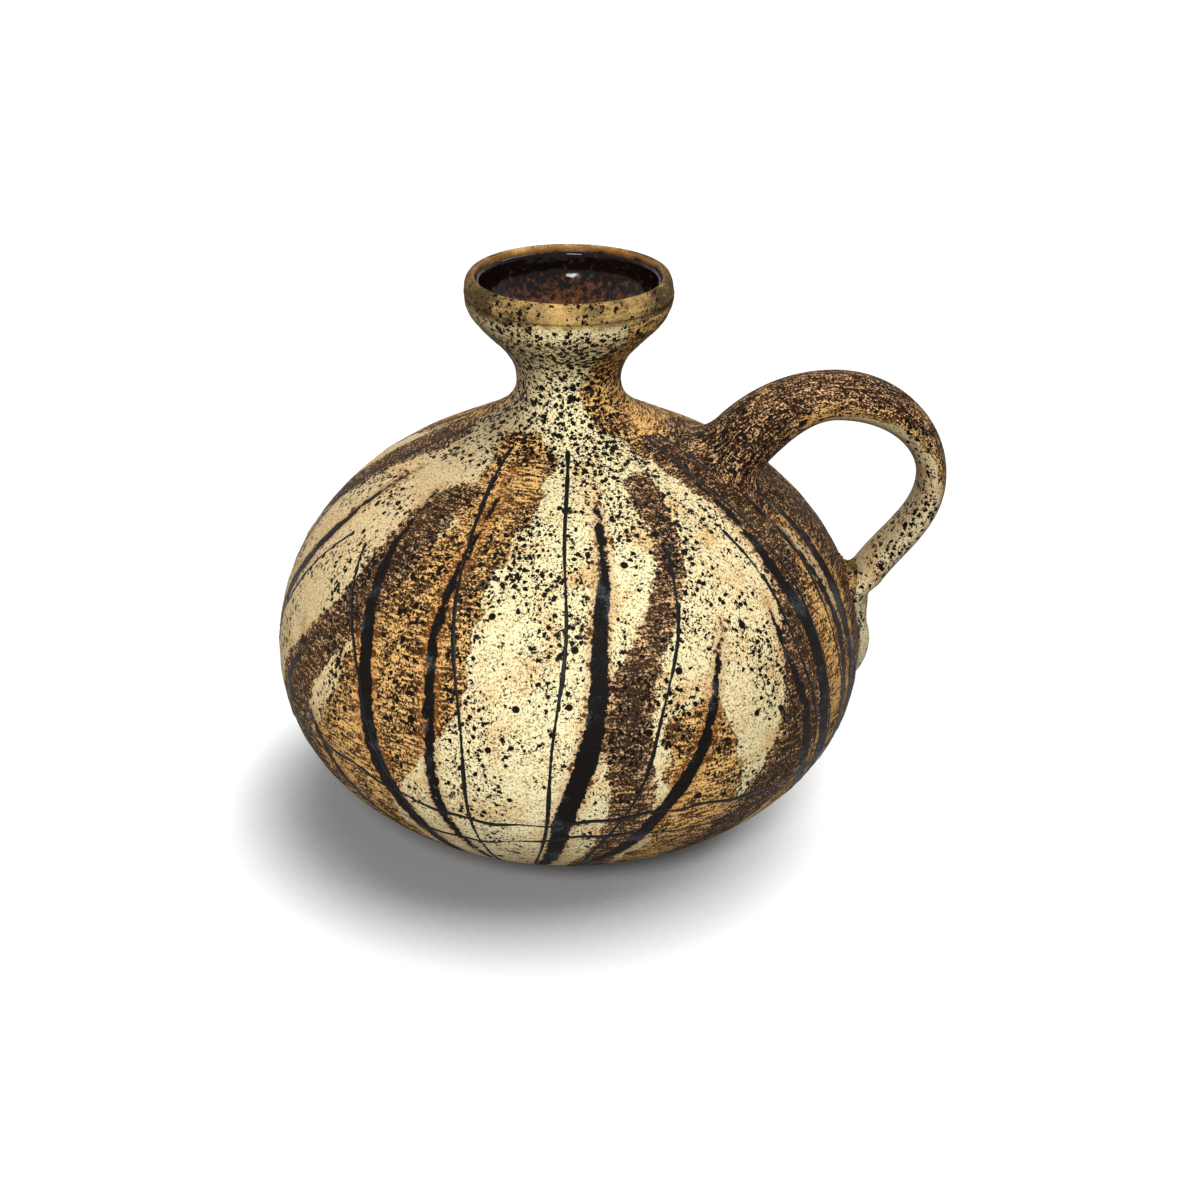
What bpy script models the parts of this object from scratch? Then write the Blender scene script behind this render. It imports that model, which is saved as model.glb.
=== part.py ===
"""Hand-thrown stoneware bottle vase with a waisted cup mouth and one pulled loop handle.

Units are metres and +Z is up. The origin is the centre of the flat base, and the handle is on +X.
Every piece of clay is an object of its own: the thrown body, the thrown neck, the pulled handle,
the coils and the wad that lute them together, and the glaze that lines the inside.
"""

import math

import bmesh
import bpy
import numpy as np

# Thrown body
BODY_RADIUS = 0.0800
WIDEST_HEIGHT = 0.0500
SHOULDER_RISE = 0.0645
BASE_CUT = 0.0035
SHOULDER_FULLNESS = 2.00
BELLY_FULLNESS = 2.10
BODY_WALL = 0.0055
FLOOR_THICKNESS = 0.0070
BASE_BEVEL = 0.0012
WALL_THINS_FROM = 0.8

# Sweep from the shoulder up to the waist of the neck
SWEEP_RADIUS = 0.0435
SWEEP_PULL = 0.0200
WAIST_PULL = 0.0088
WAIST_RADIUS = 0.01375
WAIST_RISE = 0.0115

# Cup mouth
NECK_WALL = 0.0040
CUP_RADIUS = 0.0272
CUP_HEIGHT = 0.0233
CUP_LOW_PULL = 0.0110
CUP_HIGH_PULL = 0.0092
LIP_BAND = 0.0052
LIP_THICKNESS = 0.0038
LIP_LINE_DEPTH = 0.0005
LIP_LINE_WIDTH = 0.0012

# Joint between neck and body
JOINT_RISE = 0.0040
GROOVE_HEIGHT = 0.0018
GROOVE_DEPTH = 0.0026

# Pulled handle: where it runs
ROOT_LEAN = math.radians(50)
ROOT_GAP = 0.0072
CROWN_RISE = 0.0166
CROWN_OUT = 0.0280
LOOP_REACH = 0.0172
LOOP_HEIGHT = 0.0475
LOOP_DROP_PULL = 0.0145
LANDING_HEIGHT = 0.0125
LANDING_PULL = 0.0140
LANDING_LEAN = 0.0035
TAIL_LENGTH = 0.0240

# Pulled handle: thickness in the loop's plane, and width across it
ROOT_THICKNESS = 0.0170
ROOT_WIDTH = 0.0270
CROWN_THICKNESS = 0.0122
CROWN_WIDTH = 0.0195
LOOP_THICKNESS = 0.0078
LOOP_WIDTH = 0.0160
LANDING_THICKNESS = 0.0092
LANDING_WIDTH = 0.0146
TAIL_THICKNESS = 0.0082
TAIL_WIDTH = 0.0120

# Luting coil round the root, and wad in the crook at the landing
COIL_REACH = 0.0038
WAD_REACH = 0.0045
COIL_EDGE = 0.0006

# Lining glaze
GLAZE_THICKNESS = 0.0005
GLAZE_LINE = 0.0020

# Fits
CLEARANCE = 0.0003

# Facets
BODY_STEPS = 48
NECK_STEPS = 40
GLAZE_STEPS = 24
BELLY_POINTS = 9
SHOULDER_POINTS = 8
SWEEP_POINTS = 9
CUP_POINTS = 8
LIP_POINTS = 8
POINT_GAP = 0.0004
HANDLE_SIDES = 16
CLIMB_STATIONS = 9
ARCH_STATIONS = 9
DROP_STATIONS = 10
TAIL_STATIONS = 6
ROUNDED_STATIONS = 4
HOLLOW_POINTS = 5
WAD_SECTIONS = 9
WAD_HALF_TURN = math.radians(60)


def clear_scene():
    for obj in list(bpy.data.objects):
        bpy.data.objects.remove(obj, do_unlink=True)


def new_collection(name):
    collection = bpy.data.collections.new(name)
    bpy.context.scene.collection.children.link(collection)
    return collection


def material(name, red, green, blue, roughness):
    made = bpy.data.materials.new(name)
    made.use_nodes = True
    shader = made.node_tree.nodes["Principled BSDF"]
    shader.inputs["Base Color"].default_value = (red, green, blue, 1.0)
    shader.inputs["Roughness"].default_value = roughness
    shader.inputs["Metallic"].default_value = 0.0
    return made


def add_object(name, mesh, collection, surface=None):
    obj = bpy.data.objects.new(name, mesh)
    collection.objects.link(obj)
    if surface is not None:
        mesh.materials.append(surface)
    return obj


def turned(name, profile, steps, collection, surface=None, ring=False):
    """Turns a profile of (radius, height) points about the vase's axis."""
    count = len(profile)
    edges = [(i, i + 1) for i in range(count - 1)]
    if ring:
        edges.append((count - 1, 0))
    mesh = bpy.data.meshes.new(name)
    mesh.from_pydata([(float(r), 0.0, float(z)) for r, z in profile], edges, [])
    obj = add_object(name, mesh, collection, surface)
    screw = obj.modifiers.new("turned", "SCREW")
    screw.axis = "Z"
    screw.angle = math.tau
    screw.steps = steps
    screw.render_steps = steps
    screw.use_merge_vertices = True
    screw.merge_threshold = 0.00001
    screw.use_smooth_shade = True
    return obj


def bezier(start, pull, push, end, count):
    """Points of a cubic curve, with its start left out."""
    t = np.linspace(0, 1, count + 1)[1:, None]
    start, pull, push, end = map(np.array, (start, pull, push, end))
    return (1 - t) ** 3 * start + 3 * (1 - t) ** 2 * t * pull + 3 * (1 - t) * t**2 * push + t**3 * end


def path_normals(path):
    """Unit normals to the left of each point's direction of travel."""
    along = np.gradient(path, axis=0)
    along /= np.linalg.norm(along, axis=1)[:, None]
    return np.column_stack([-along[:, 1], along[:, 0]])


def offset_path(path, distance):
    """The path moved to its left by a distance, which may vary from point to point."""
    return path + path_normals(path) * np.broadcast_to(distance, len(path))[:, None]


# Heights that the sizes above give. The belly's curve would close a little below the flat base
BELLY_DROP = WIDEST_HEIGHT + BASE_CUT
WAIST_HEIGHT = WIDEST_HEIGHT + SHOULDER_RISE + WAIST_RISE
CUP_TOP = WAIST_HEIGHT + CUP_HEIGHT
LIP_HEIGHT = CUP_TOP + LIP_BAND
JOINT_HEIGHT = WIDEST_HEIGHT + SHOULDER_RISE + JOINT_RISE
LIP_MIDDLE = CUP_RADIUS - LIP_THICKNESS / 2


def outside_path():
    """The outer wall from the base's edge up to the cup's widest ring, as (radius, height) points."""
    low = math.asin((WIDEST_HEIGHT / BELLY_DROP) ** (BELLY_FULLNESS / 2))
    turn = np.linspace(low, 0, BELLY_POINTS)
    belly = np.column_stack(
        [
            BODY_RADIUS * np.cos(turn) ** (2 / BELLY_FULLNESS),
            WIDEST_HEIGHT - BELLY_DROP * np.sin(turn) ** (2 / BELLY_FULLNESS),
        ]
    )
    high = math.acos((SWEEP_RADIUS / BODY_RADIUS) ** (SHOULDER_FULLNESS / 2))
    turn = np.linspace(0, high, SHOULDER_POINTS)[1:]
    shoulder = np.column_stack(
        [
            BODY_RADIUS * np.cos(turn) ** (2 / SHOULDER_FULLNESS),
            WIDEST_HEIGHT + SHOULDER_RISE * np.sin(turn) ** (2 / SHOULDER_FULLNESS),
        ]
    )
    rise = shoulder[-1] - shoulder[-2]
    rise /= np.linalg.norm(rise)
    waist = np.array([WAIST_RADIUS, WAIST_HEIGHT])
    pull = shoulder[-1] + SWEEP_PULL * rise
    sweep = bezier(shoulder[-1], pull, waist - [0, WAIST_PULL], waist, SWEEP_POINTS)
    rim = np.array([CUP_RADIUS, CUP_TOP])
    cup = bezier(waist, waist + [0, CUP_LOW_PULL], rim - [0, CUP_HIGH_PULL], rim, CUP_POINTS)
    return np.vstack([belly, shoulder, sweep, cup])


def inside_path(outside):
    """The inner wall from the floor's edge up to the cup, thinning from body to neck to lip."""
    heights = [0, WIDEST_HEIGHT + SHOULDER_RISE * WALL_THINS_FROM, WAIST_HEIGHT, CUP_TOP]
    walls = [BODY_WALL, BODY_WALL, NECK_WALL, LIP_THICKNESS]
    inside = offset_path(outside, np.interp(outside[:, 1], heights, walls))
    inside[-1] = [CUP_RADIUS - LIP_THICKNESS, CUP_TOP]
    edge = np.interp(FLOOR_THICKNESS, inside[:, 1], inside[:, 0])
    above = inside[inside[:, 1] > FLOOR_THICKNESS + POINT_GAP]
    return np.vstack([[edge, FLOOR_THICKNESS], above])


def lip_arch(first, last, count):
    """Points over the rounded lip: angle 0 is its outer side and 180 its inner side."""
    turn = np.radians(np.linspace(first, last, count))
    return np.column_stack(
        [LIP_MIDDLE + LIP_THICKNESS / 2 * np.cos(turn), CUP_TOP + LIP_BAND * np.sin(turn)]
    )


OUTSIDE = outside_path()
INSIDE = inside_path(OUTSIDE)


def wall_at(path, height):
    """The point of a wall at one height. Both walls only ever rise."""
    return np.array([np.interp(height, path[:, 1], path[:, 0]), height])


def wall_between(path, low, high):
    """The wall's points between two heights, with both ends."""
    inner = path[(path[:, 1] > low + POINT_GAP) & (path[:, 1] < high - POINT_GAP)]
    return np.vstack([wall_at(path, low), inner, wall_at(path, high)])


def shoulder_height(radius):
    top = OUTSIDE[(OUTSIDE[:, 1] >= WIDEST_HEIGHT) & (OUTSIDE[:, 1] <= WAIST_HEIGHT)][::-1]
    return float(np.interp(radius, top[:, 0], top[:, 1]))


# The V-groove at the joint: its bottom, and the height where its flanks reach the outer wall
GROOVE_BOTTOM = wall_at(OUTSIDE, JOINT_HEIGHT)[0] - GROOVE_DEPTH
NECK_SEAT = JOINT_HEIGHT + CLEARANCE
GROOVE_LOW = JOINT_HEIGHT - GROOVE_HEIGHT
GROOVE_HIGH = NECK_SEAT + GROOVE_HEIGHT

# The root stands clear of the neck's coil by its gap, its own coil and half its slanting footprint
ROOT_RADIUS = (
    wall_at(OUTSIDE, GROOVE_LOW)[0]
    + ROOT_GAP
    + COIL_REACH
    + ROOT_THICKNESS / 2 / math.sin(ROOT_LEAN)
)


def make_body(collection):
    inner = INSIDE[INSIDE[:, 1] < JOINT_HEIGHT - POINT_GAP]
    outer = wall_between(OUTSIDE, BASE_BEVEL, GROOVE_LOW)[::-1]
    base = OUTSIDE[0, 0] - BASE_BEVEL
    profile = np.vstack(
        [
            [0, FLOOR_THICKNESS],
            inner,
            wall_at(INSIDE, JOINT_HEIGHT),
            [GROOVE_BOTTOM, JOINT_HEIGHT],
            outer,
            [base, 0],
            [0, 0],
        ]
    )
    surface = material("speckled_cream_stoneware", 0.52, 0.40, 0.22, 0.62)
    return turned("body", profile, BODY_STEPS, collection, surface)


def make_neck(collection):
    line = LIP_LINE_WIDTH / 2
    incised = [
        [CUP_RADIUS, CUP_TOP + line],
        [CUP_RADIUS - LIP_LINE_DEPTH, CUP_TOP],
        [CUP_RADIUS, CUP_TOP - line],
    ]
    profile = np.vstack(
        [
            wall_between(INSIDE, NECK_SEAT, CUP_TOP),
            lip_arch(165, 15, LIP_POINTS),
            incised,
            wall_between(OUTSIDE, GROOVE_HIGH, CUP_TOP - 2 * line)[::-1],
            [GROOVE_BOTTOM, NECK_SEAT],
        ]
    )
    surface = material("brown_washed_stoneware", 0.25, 0.16, 0.085, 0.60)
    return turned("neck", profile, NECK_STEPS, collection, surface, ring=True)


def make_neck_coil(collection):
    """The coil fills the groove and is wiped flush with the wall on both sides of it."""
    low = wall_at(OUTSIDE, GROOVE_LOW)
    high = wall_at(OUTSIDE, GROOVE_HIGH)
    tip = np.array([GROOVE_BOTTOM + 3 * CLEARANCE, (JOINT_HEIGHT + NECK_SEAT) / 2])
    middle = wall_at(OUTSIDE, (GROOVE_LOW + GROOVE_HIGH) / 2)
    margin = 1.5 * CLEARANCE
    profile = np.vstack([high - [0, margin], middle, low + [0, margin], tip])
    surface = material("wiped_coil_stoneware", 0.30, 0.20, 0.11, 0.65)
    return turned("neck_luting_coil", profile, NECK_STEPS, collection, surface, ring=True)


def make_lining(collection):
    """A skin of glaze over floor, wall, neck and the inner side of the lip."""
    top = LIP_HEIGHT - GLAZE_LINE
    wall = np.vstack([INSIDE[1:], lip_arch(180, 110, LIP_POINTS - 1)[1:]])
    wall = np.vstack([[0, FLOOR_THICKNESS], INSIDE[0] - [CLEARANCE, 0], wall[wall[:, 1] < top]])
    outer = offset_path(wall, CLEARANCE)
    inner = offset_path(wall, CLEARANCE + GLAZE_THICKNESS)
    outer[0] = [0, FLOOR_THICKNESS + CLEARANCE]
    inner[0] = [0, FLOOR_THICKNESS + CLEARANCE + GLAZE_THICKNESS]
    surface = material("iron_brown_liner_glaze", 0.020, 0.010, 0.006, 0.12)
    return turned("liner_glaze", np.vstack([inner, outer[::-1]]), GLAZE_STEPS, collection, surface)


def ease(values, places, at):
    """Runs smoothly from one value to the next, level at each place."""
    spot = np.clip(np.searchsorted(places, at, side="right") - 1, 0, len(places) - 2)
    places = np.array(places)
    values = np.array(values)
    share = np.clip((at - places[spot]) / (places[spot + 1] - places[spot]), 0, 1)
    share = share * share * (3 - 2 * share)
    return values[spot] + (values[spot + 1] - values[spot]) * share


class Handle:
    """The pulled strap as sections along a centreline in the plane Y = 0, from shoulder to tail."""

    def __init__(self):
        root = np.array([ROOT_RADIUS, shoulder_height(ROOT_RADIUS)])
        lean = np.array([math.cos(ROOT_LEAN), math.sin(ROOT_LEAN)])
        crown = root + [CROWN_OUT, CROWN_RISE]
        far = np.array([BODY_RADIUS + LOOP_REACH, WIDEST_HEIGHT + LOOP_HEIGHT])
        landing = wall_at(OUTSIDE, WIDEST_HEIGHT + LANDING_HEIGHT)
        sunk = root - lean * ROOT_THICKNESS
        bend = np.array([root[0] + CROWN_RISE / math.tan(ROOT_LEAN), crown[1]])
        pull, push = root + (bend - root) * 2 / 3, crown + (bend - crown) * 2 / 3
        climb = bezier(root, pull, push, crown, CLIMB_STATIONS)
        turn = np.linspace(math.pi / 2, 0, ARCH_STATIONS + 1)[1:, None]
        arch = np.hstack(
            [
                crown[0] + (far[0] - crown[0]) * np.cos(turn),
                far[1] + (crown[1] - far[1]) * np.sin(turn),
            ]
        )
        push = landing + [LANDING_LEAN, LANDING_PULL]
        drop = bezier(far, far - [0, LOOP_DROP_PULL], push, landing, DROP_STATIONS)
        heights = landing[1] - TAIL_LENGTH * np.linspace(0, 1, TAIL_STATIONS + 1)[1:]
        tail = np.array([wall_at(OUTSIDE, height) for height in heights])
        middle = (sunk + root) / 2
        self.line = np.vstack([sunk, middle, root, climb, arch, drop, tail])
        self.count = len(self.line)
        self.outward = path_normals(self.line)
        ends = np.cumsum([2, len(climb), len(arch), len(drop), len(tail)])
        steps = np.arange(self.count)
        thick = [ROOT_THICKNESS, CROWN_THICKNESS, LOOP_THICKNESS, LANDING_THICKNESS, TAIL_THICKNESS]
        wide = [ROOT_WIDTH, CROWN_WIDTH, LOOP_WIDTH, LANDING_WIDTH, TAIL_WIDTH]
        self.thickness = ease(thick, ends, steps)
        self.width = ease(wide, ends, steps)
        rounded = np.sqrt(1 - np.linspace(0, 0.9, ROUNDED_STATIONS) ** 2)
        self.thickness[-ROUNDED_STATIONS:] *= rounded
        self.width[-ROUNDED_STATIONS:] *= rounded

    def station(self, place):
        """Centre, outward direction, thickness and width at a place counted in stations."""
        low = min(int(place), self.count - 2)
        share = place - low
        both = []
        for values in (self.line, self.outward, self.thickness, self.width):
            both.append(values[low] * (1 - share) + values[low + 1] * share)
        return both

    def point(self, place, angle):
        """A point on the skin. Angle 0 is the outer side of the loop and pi its inner side."""
        centre, outward, thickness, width = self.station(place)
        across = thickness / 2 * math.cos(angle)
        return np.array(
            [
                centre[0] + outward[0] * across,
                width / 2 * math.sin(angle),
                centre[1] + outward[1] * across,
            ]
        )

    def normal(self, place, angle):
        """The skin's outward direction, with the strap's slow taper left out."""
        _, outward, thickness, width = self.station(place)
        across = math.cos(angle) / thickness
        found = np.array([outward[0] * across, math.sin(angle) / width, outward[1] * across])
        return found / np.linalg.norm(found)


def above_wall(point):
    """Height of a point above the body's skin, and the skin's outward direction below it."""
    radius = math.hypot(point[0], point[1])
    spot = np.array([radius, point[2]])
    start, step = OUTSIDE[:-1], np.diff(OUTSIDE, axis=0)
    share = np.einsum("ij,ij->i", spot - start, step) / np.einsum("ij,ij->i", step, step)
    nearest = start + np.clip(share, 0, 1)[:, None] * step
    pick = np.argmin(np.linalg.norm(spot - nearest, axis=1))
    out = np.array([step[pick, 1], -step[pick, 0]]) / np.linalg.norm(step[pick])
    height = float(np.dot(spot - nearest[pick], out))
    return height, np.array([out[0] * point[0] / radius, out[0] * point[1] / radius, out[1]])


def raised(point, height):
    """The point moved straight off the body's skin until it stands at this height above it."""
    for _ in range(3):
        now, out = above_wall(point)
        point = point + out * (height - now)
    return point


def loft(name, rings, collection, surface, closed):
    """Skins a row of rings of equal size, joined end to end or capped at both ends."""
    mesh = bpy.data.meshes.new(name)
    shell = bmesh.new()
    rows = [[shell.verts.new(point) for point in ring] for ring in rings]
    pairs = list(zip(rows, rows[1:]))
    if closed:
        pairs.append((rows[-1], rows[0]))
    else:
        shell.faces.new(rows[0])
        shell.faces.new(rows[-1])
    for row, after in pairs:
        for i in range(len(row)):
            j = (i + 1) % len(row)
            shell.faces.new((row[i], row[j], after[j], after[i]))
    bmesh.ops.recalc_face_normals(shell, faces=shell.faces[:])
    for face in shell.faces:
        face.smooth = True
    shell.to_mesh(mesh)
    shell.free()
    return add_object(name, mesh, collection, surface)


def make_handle(handle, collection, cutters):
    angles = np.arange(HANDLE_SIDES) * math.tau / HANDLE_SIDES
    rings = [[handle.point(place, angle) for angle in angles] for place in range(handle.count)]
    surface = material("brown_handle_stoneware", 0.17, 0.11, 0.06, 0.55)
    obj = loft("handle", rings, collection, surface, closed=False)
    skin = offset_path(wall_between(OUTSIDE, BASE_BEVEL, JOINT_HEIGHT), -CLEARANCE)
    profile = np.vstack([[0, skin[-1, 1]], skin[::-1], [0, skin[0, 1]]])
    cutter = turned("body_cutter", profile, BODY_STEPS, cutters)
    cutter.hide_render = True
    cutter.display_type = "WIRE"
    cut = obj.modifiers.new("seated_on_body", "BOOLEAN")
    cut.operation = "DIFFERENCE"
    cut.solver = "EXACT"
    cut.object = cutter
    return obj


def seat_of(handle, angle, low, high):
    """The place between two stations where a line along the strap comes down to its clearance."""

    def height(place):
        point = handle.point(place, angle) + CLEARANCE * handle.normal(place, angle)
        return above_wall(point)[0] - CLEARANCE

    rising = height(high) > height(low)
    for _ in range(40):
        middle = (low + high) / 2
        if (height(middle) > 0) == rising:
            high = middle
        else:
            low = middle
    return (low + high) / 2


def fillet_section(handle, angle, seat, reach, climb):
    """The section of clay pressed into a corner between strap and wall, hollow on its open side.

    climb is +1 where the strap leaves the wall as its stations go on, and -1 where it comes down."""
    pace = np.linalg.norm(handle.station(seat + climb)[0] - handle.station(seat)[0])
    places = seat + climb * np.linspace(0, 1, 3) * reach / pace
    side = [handle.point(p, angle) + CLEARANCE * handle.normal(p, angle) for p in places]
    leaving = handle.normal(seat, angle)
    _, out = above_wall(side[0])
    along = leaving - np.dot(leaving, out) * out
    along /= np.linalg.norm(along)
    foot = [raised(side[0] + along * reach * share, CLEARANCE) for share in (0.5, 1)]
    first = side[2] + COIL_EDGE * handle.normal(places[2], angle)
    last = raised(foot[1], CLEARANCE + COIL_EDGE)
    corner = side[0] + COIL_EDGE * (leaving + out)
    pull, push = first + (corner - first) * 2 / 3, last + (corner - last) * 2 / 3
    hollow = bezier(first, pull, push, last, HOLLOW_POINTS)
    return [*side, first, *hollow, foot[1], foot[0]]


def make_root_coil(handle, collection):
    angles = np.arange(HANDLE_SIDES) * math.tau / HANDLE_SIDES
    rings = []
    for angle in angles:
        seat = seat_of(handle, angle, 0, CLIMB_STATIONS - 2)
        rings.append(fillet_section(handle, angle, seat, COIL_REACH, 1))
    surface = material("root_coil_stoneware", 0.19, 0.12, 0.065, 0.60)
    return loft("handle_root_coil", rings, collection, surface, closed=True)


def make_crook_wad(handle, collection):
    """The wad is full in the crook under the strap, and thins out round its sides."""
    rings = []
    for turn in np.linspace(-WAD_HALF_TURN, WAD_HALF_TURN, WAD_SECTIONS):
        angle = math.pi + turn
        landing = handle.count - 1 - TAIL_STATIONS
        seat = seat_of(handle, angle, landing - DROP_STATIONS + 2, landing)
        reach = WAD_REACH * (0.45 + 0.55 * math.cos(1.5 * turn))
        rings.append(fillet_section(handle, angle, seat, reach, -1))
    surface = material("crook_wad_stoneware", 0.22, 0.15, 0.08, 0.70)
    return loft("handle_crook_wad", rings, collection, surface, closed=False)


def main():
    clear_scene()
    parts = new_collection("loop_handled_bottle_vase")
    cutters = new_collection("cutters")
    cutters.hide_render = True
    handle = Handle()
    make_body(parts)
    make_neck(parts)
    make_neck_coil(parts)
    make_lining(parts)
    make_handle(handle, parts, cutters)
    make_root_coil(handle, parts)
    make_crook_wad(handle, parts)


main()
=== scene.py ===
# %% [markdown]
# # A stoneware bottle vase with a loop handle
# The vase is thrown on a wheel in two pieces, a round body and a waisted neck with a cup mouth. A pulled
# strap of clay is the handle. Its skin is a matte cream slip full of iron specks, with brown washes and
# black glaze over it, and a dark glossy glaze lines the inside. The imported solids are the frame: every
# piece below takes its place from them, so they are loaded first and their box is kept.

import math
from functools import partial

import bpy
import numpy as np
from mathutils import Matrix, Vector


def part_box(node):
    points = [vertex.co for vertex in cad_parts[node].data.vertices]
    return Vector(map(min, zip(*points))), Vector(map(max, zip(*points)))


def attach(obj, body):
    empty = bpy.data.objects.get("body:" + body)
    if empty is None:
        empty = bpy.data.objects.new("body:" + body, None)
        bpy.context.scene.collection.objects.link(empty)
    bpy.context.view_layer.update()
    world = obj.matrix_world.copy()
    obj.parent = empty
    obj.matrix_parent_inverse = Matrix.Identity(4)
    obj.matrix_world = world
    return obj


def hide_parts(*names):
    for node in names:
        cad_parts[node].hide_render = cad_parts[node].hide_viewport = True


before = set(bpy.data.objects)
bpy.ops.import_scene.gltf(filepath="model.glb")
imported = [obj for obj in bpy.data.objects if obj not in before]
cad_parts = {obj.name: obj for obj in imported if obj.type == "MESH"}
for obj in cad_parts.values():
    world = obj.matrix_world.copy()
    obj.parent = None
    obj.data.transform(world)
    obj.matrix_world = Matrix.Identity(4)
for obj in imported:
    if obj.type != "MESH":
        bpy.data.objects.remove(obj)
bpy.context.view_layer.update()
_, body_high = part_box("body")
neck_low, neck_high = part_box("neck")
print("body", [round(float(v), 4) for v in body_high], "lip height", round(float(neck_high[2]), 4))

# %% [markdown]
# ## Camera
# The outline of the pot gives the camera: it looks down at about 27 degrees from some 0.6 m away, and its
# picture is cropped so that the vase sits left of the middle and a little low. The crop is the lens shift.

# %% Camera
IMAGE_PIXELS = 1200
EYE_DISTANCE = 0.600
EYE_ELEVATION = math.radians(27.0)
FOCAL_PIXELS = 2155
AXIS_PIXEL = (568.7, 635.6)
SENSOR_MM = 36
NEAR_CLIP = 0.01
WIDEST_HEIGHT = 0.0500

bpy.ops.object.camera_add(
    location=(
        0,
        -EYE_DISTANCE * math.cos(EYE_ELEVATION),
        WIDEST_HEIGHT + EYE_DISTANCE * math.sin(EYE_ELEVATION),
    ),
    rotation=(math.pi / 2 - EYE_ELEVATION, 0, 0),
)
camera = bpy.context.object
camera.data.sensor_width = SENSOR_MM
camera.data.lens = FOCAL_PIXELS * SENSOR_MM / IMAGE_PIXELS
camera.data.shift_x = 0.5 - AXIS_PIXEL[0] / IMAGE_PIXELS
camera.data.shift_y = AXIS_PIXEL[1] / IMAGE_PIXELS - 0.5
camera.data.clip_start = NEAR_CLIP
bpy.context.scene.camera = camera
bpy.context.scene.view_settings.view_transform = "Standard"
print("lens", round(camera.data.lens, 1), "mm")

# %% [markdown]
# ## The outline of the pot
# Body and neck are turned shapes, so one outline of radius and height draws both. The belly and the shoulder
# are arcs of a slightly full ellipse. A long curve sweeps from the shoulder to the waist of the neck, another
# one opens the cup, and half an ellipse rounds the lip. These are the sizes that the solids were made to.

# %% Outline
BODY_RADIUS = float(body_high[0])
SHOULDER_RISE = 0.0645
BELLY_DROP = 0.0535
BELLY_FULLNESS = 2.10
SWEEP_RADIUS = 0.0435
SWEEP_PULL = 0.0200
WAIST_PULL = 0.0088
WAIST_RADIUS = 0.01375
WAIST_RISE = 0.0115
WAIST_HEIGHT = WIDEST_HEIGHT + SHOULDER_RISE + WAIST_RISE
CUP_RADIUS = float(neck_high[0])
CUP_DEPTH = 0.0233
CUP_PULL = 0.0110
RIM_PULL = 0.0092
CUP_TOP = WAIST_HEIGHT + CUP_DEPTH
LIP_BAND = float(neck_high[2]) - CUP_TOP
LIP_THICKNESS = 0.0038
BODY_WALL = 0.0055
NECK_WALL = 0.0040
THINS_ABOVE = WIDEST_HEIGHT + SHOULDER_RISE * 0.8
FLOOR_THICKNESS = 0.0070
JOINT_HEIGHT = float(neck_low[2])
BELLY_STEPS = 54
SHOULDER_STEPS = 44
SWEEP_STEPS = 34
CUP_STEPS = 30


def cubic(start, pull, push, end, count):
    """Points of a cubic curve, with its start left out."""
    t = np.linspace(0, 1, count + 1)[1:, None]
    start, pull, push, end = map(np.array, (start, pull, push, end))
    return (1 - t) ** 3 * start + 3 * (1 - t) ** 2 * t * pull + 3 * (1 - t) * t**2 * push + t**3 * end


def draw_outside():
    low = math.asin((WIDEST_HEIGHT / BELLY_DROP) ** (BELLY_FULLNESS / 2))
    turn = np.linspace(low, 0, BELLY_STEPS)[:, None]
    belly = np.hstack(
        [
            BODY_RADIUS * np.cos(turn) ** (2 / BELLY_FULLNESS),
            WIDEST_HEIGHT - BELLY_DROP * np.sin(turn) ** (2 / BELLY_FULLNESS),
        ]
    )
    turn = np.linspace(0, math.acos(SWEEP_RADIUS / BODY_RADIUS), SHOULDER_STEPS)[1:, None]
    shoulder = np.hstack([BODY_RADIUS * np.cos(turn), WIDEST_HEIGHT + SHOULDER_RISE * np.sin(turn)])
    rise = shoulder[-1] - shoulder[-2]
    rise /= np.linalg.norm(rise)
    waist = np.array([WAIST_RADIUS, WAIST_HEIGHT])
    rim = np.array([CUP_RADIUS, CUP_TOP])
    edge = shoulder[-1]
    sweep = cubic(edge, edge + SWEEP_PULL * rise, waist - [0, WAIST_PULL], waist, SWEEP_STEPS)
    cup = cubic(waist, waist + [0, CUP_PULL], rim - [0, RIM_PULL], rim, CUP_STEPS)
    return np.vstack([belly, shoulder, sweep, cup])


def left_of(path):
    """Directions square to a path, on its left."""
    along = np.gradient(path, axis=0)
    along /= np.linalg.norm(along, axis=1)[:, None]
    return np.column_stack([-along[:, 1], along[:, 0]])


outside = draw_outside()
wall = np.interp(
    outside[:, 1],
    [0, THINS_ABOVE, WAIST_HEIGHT, CUP_TOP],
    [BODY_WALL, BODY_WALL, NECK_WALL, LIP_THICKNESS],
)
inside = outside + left_of(outside) * wall[:, None]
inside[-1] = [CUP_RADIUS - LIP_THICKNESS, CUP_TOP]
run_up = np.concatenate([[0], np.cumsum(np.linalg.norm(np.diff(outside, axis=0), axis=1))])
print("outline points", len(outside), "length up the wall", round(run_up[-1] * 1000), "mm")

# %% [markdown]
# ## Turning a piece
# By hand one would draw half the section as a chain of points and spin it. Here a small triangle is merged
# to one point, that point is extruded along the outline, and the chain is spun a full turn about the vase's
# axis. The seam and the poles are merged, and the faces are turned outwards.

# %% Turned pieces
WELD = 0.000002
END_CLEAR = 0.0002
TURNED_CREASE = math.radians(50)


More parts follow.
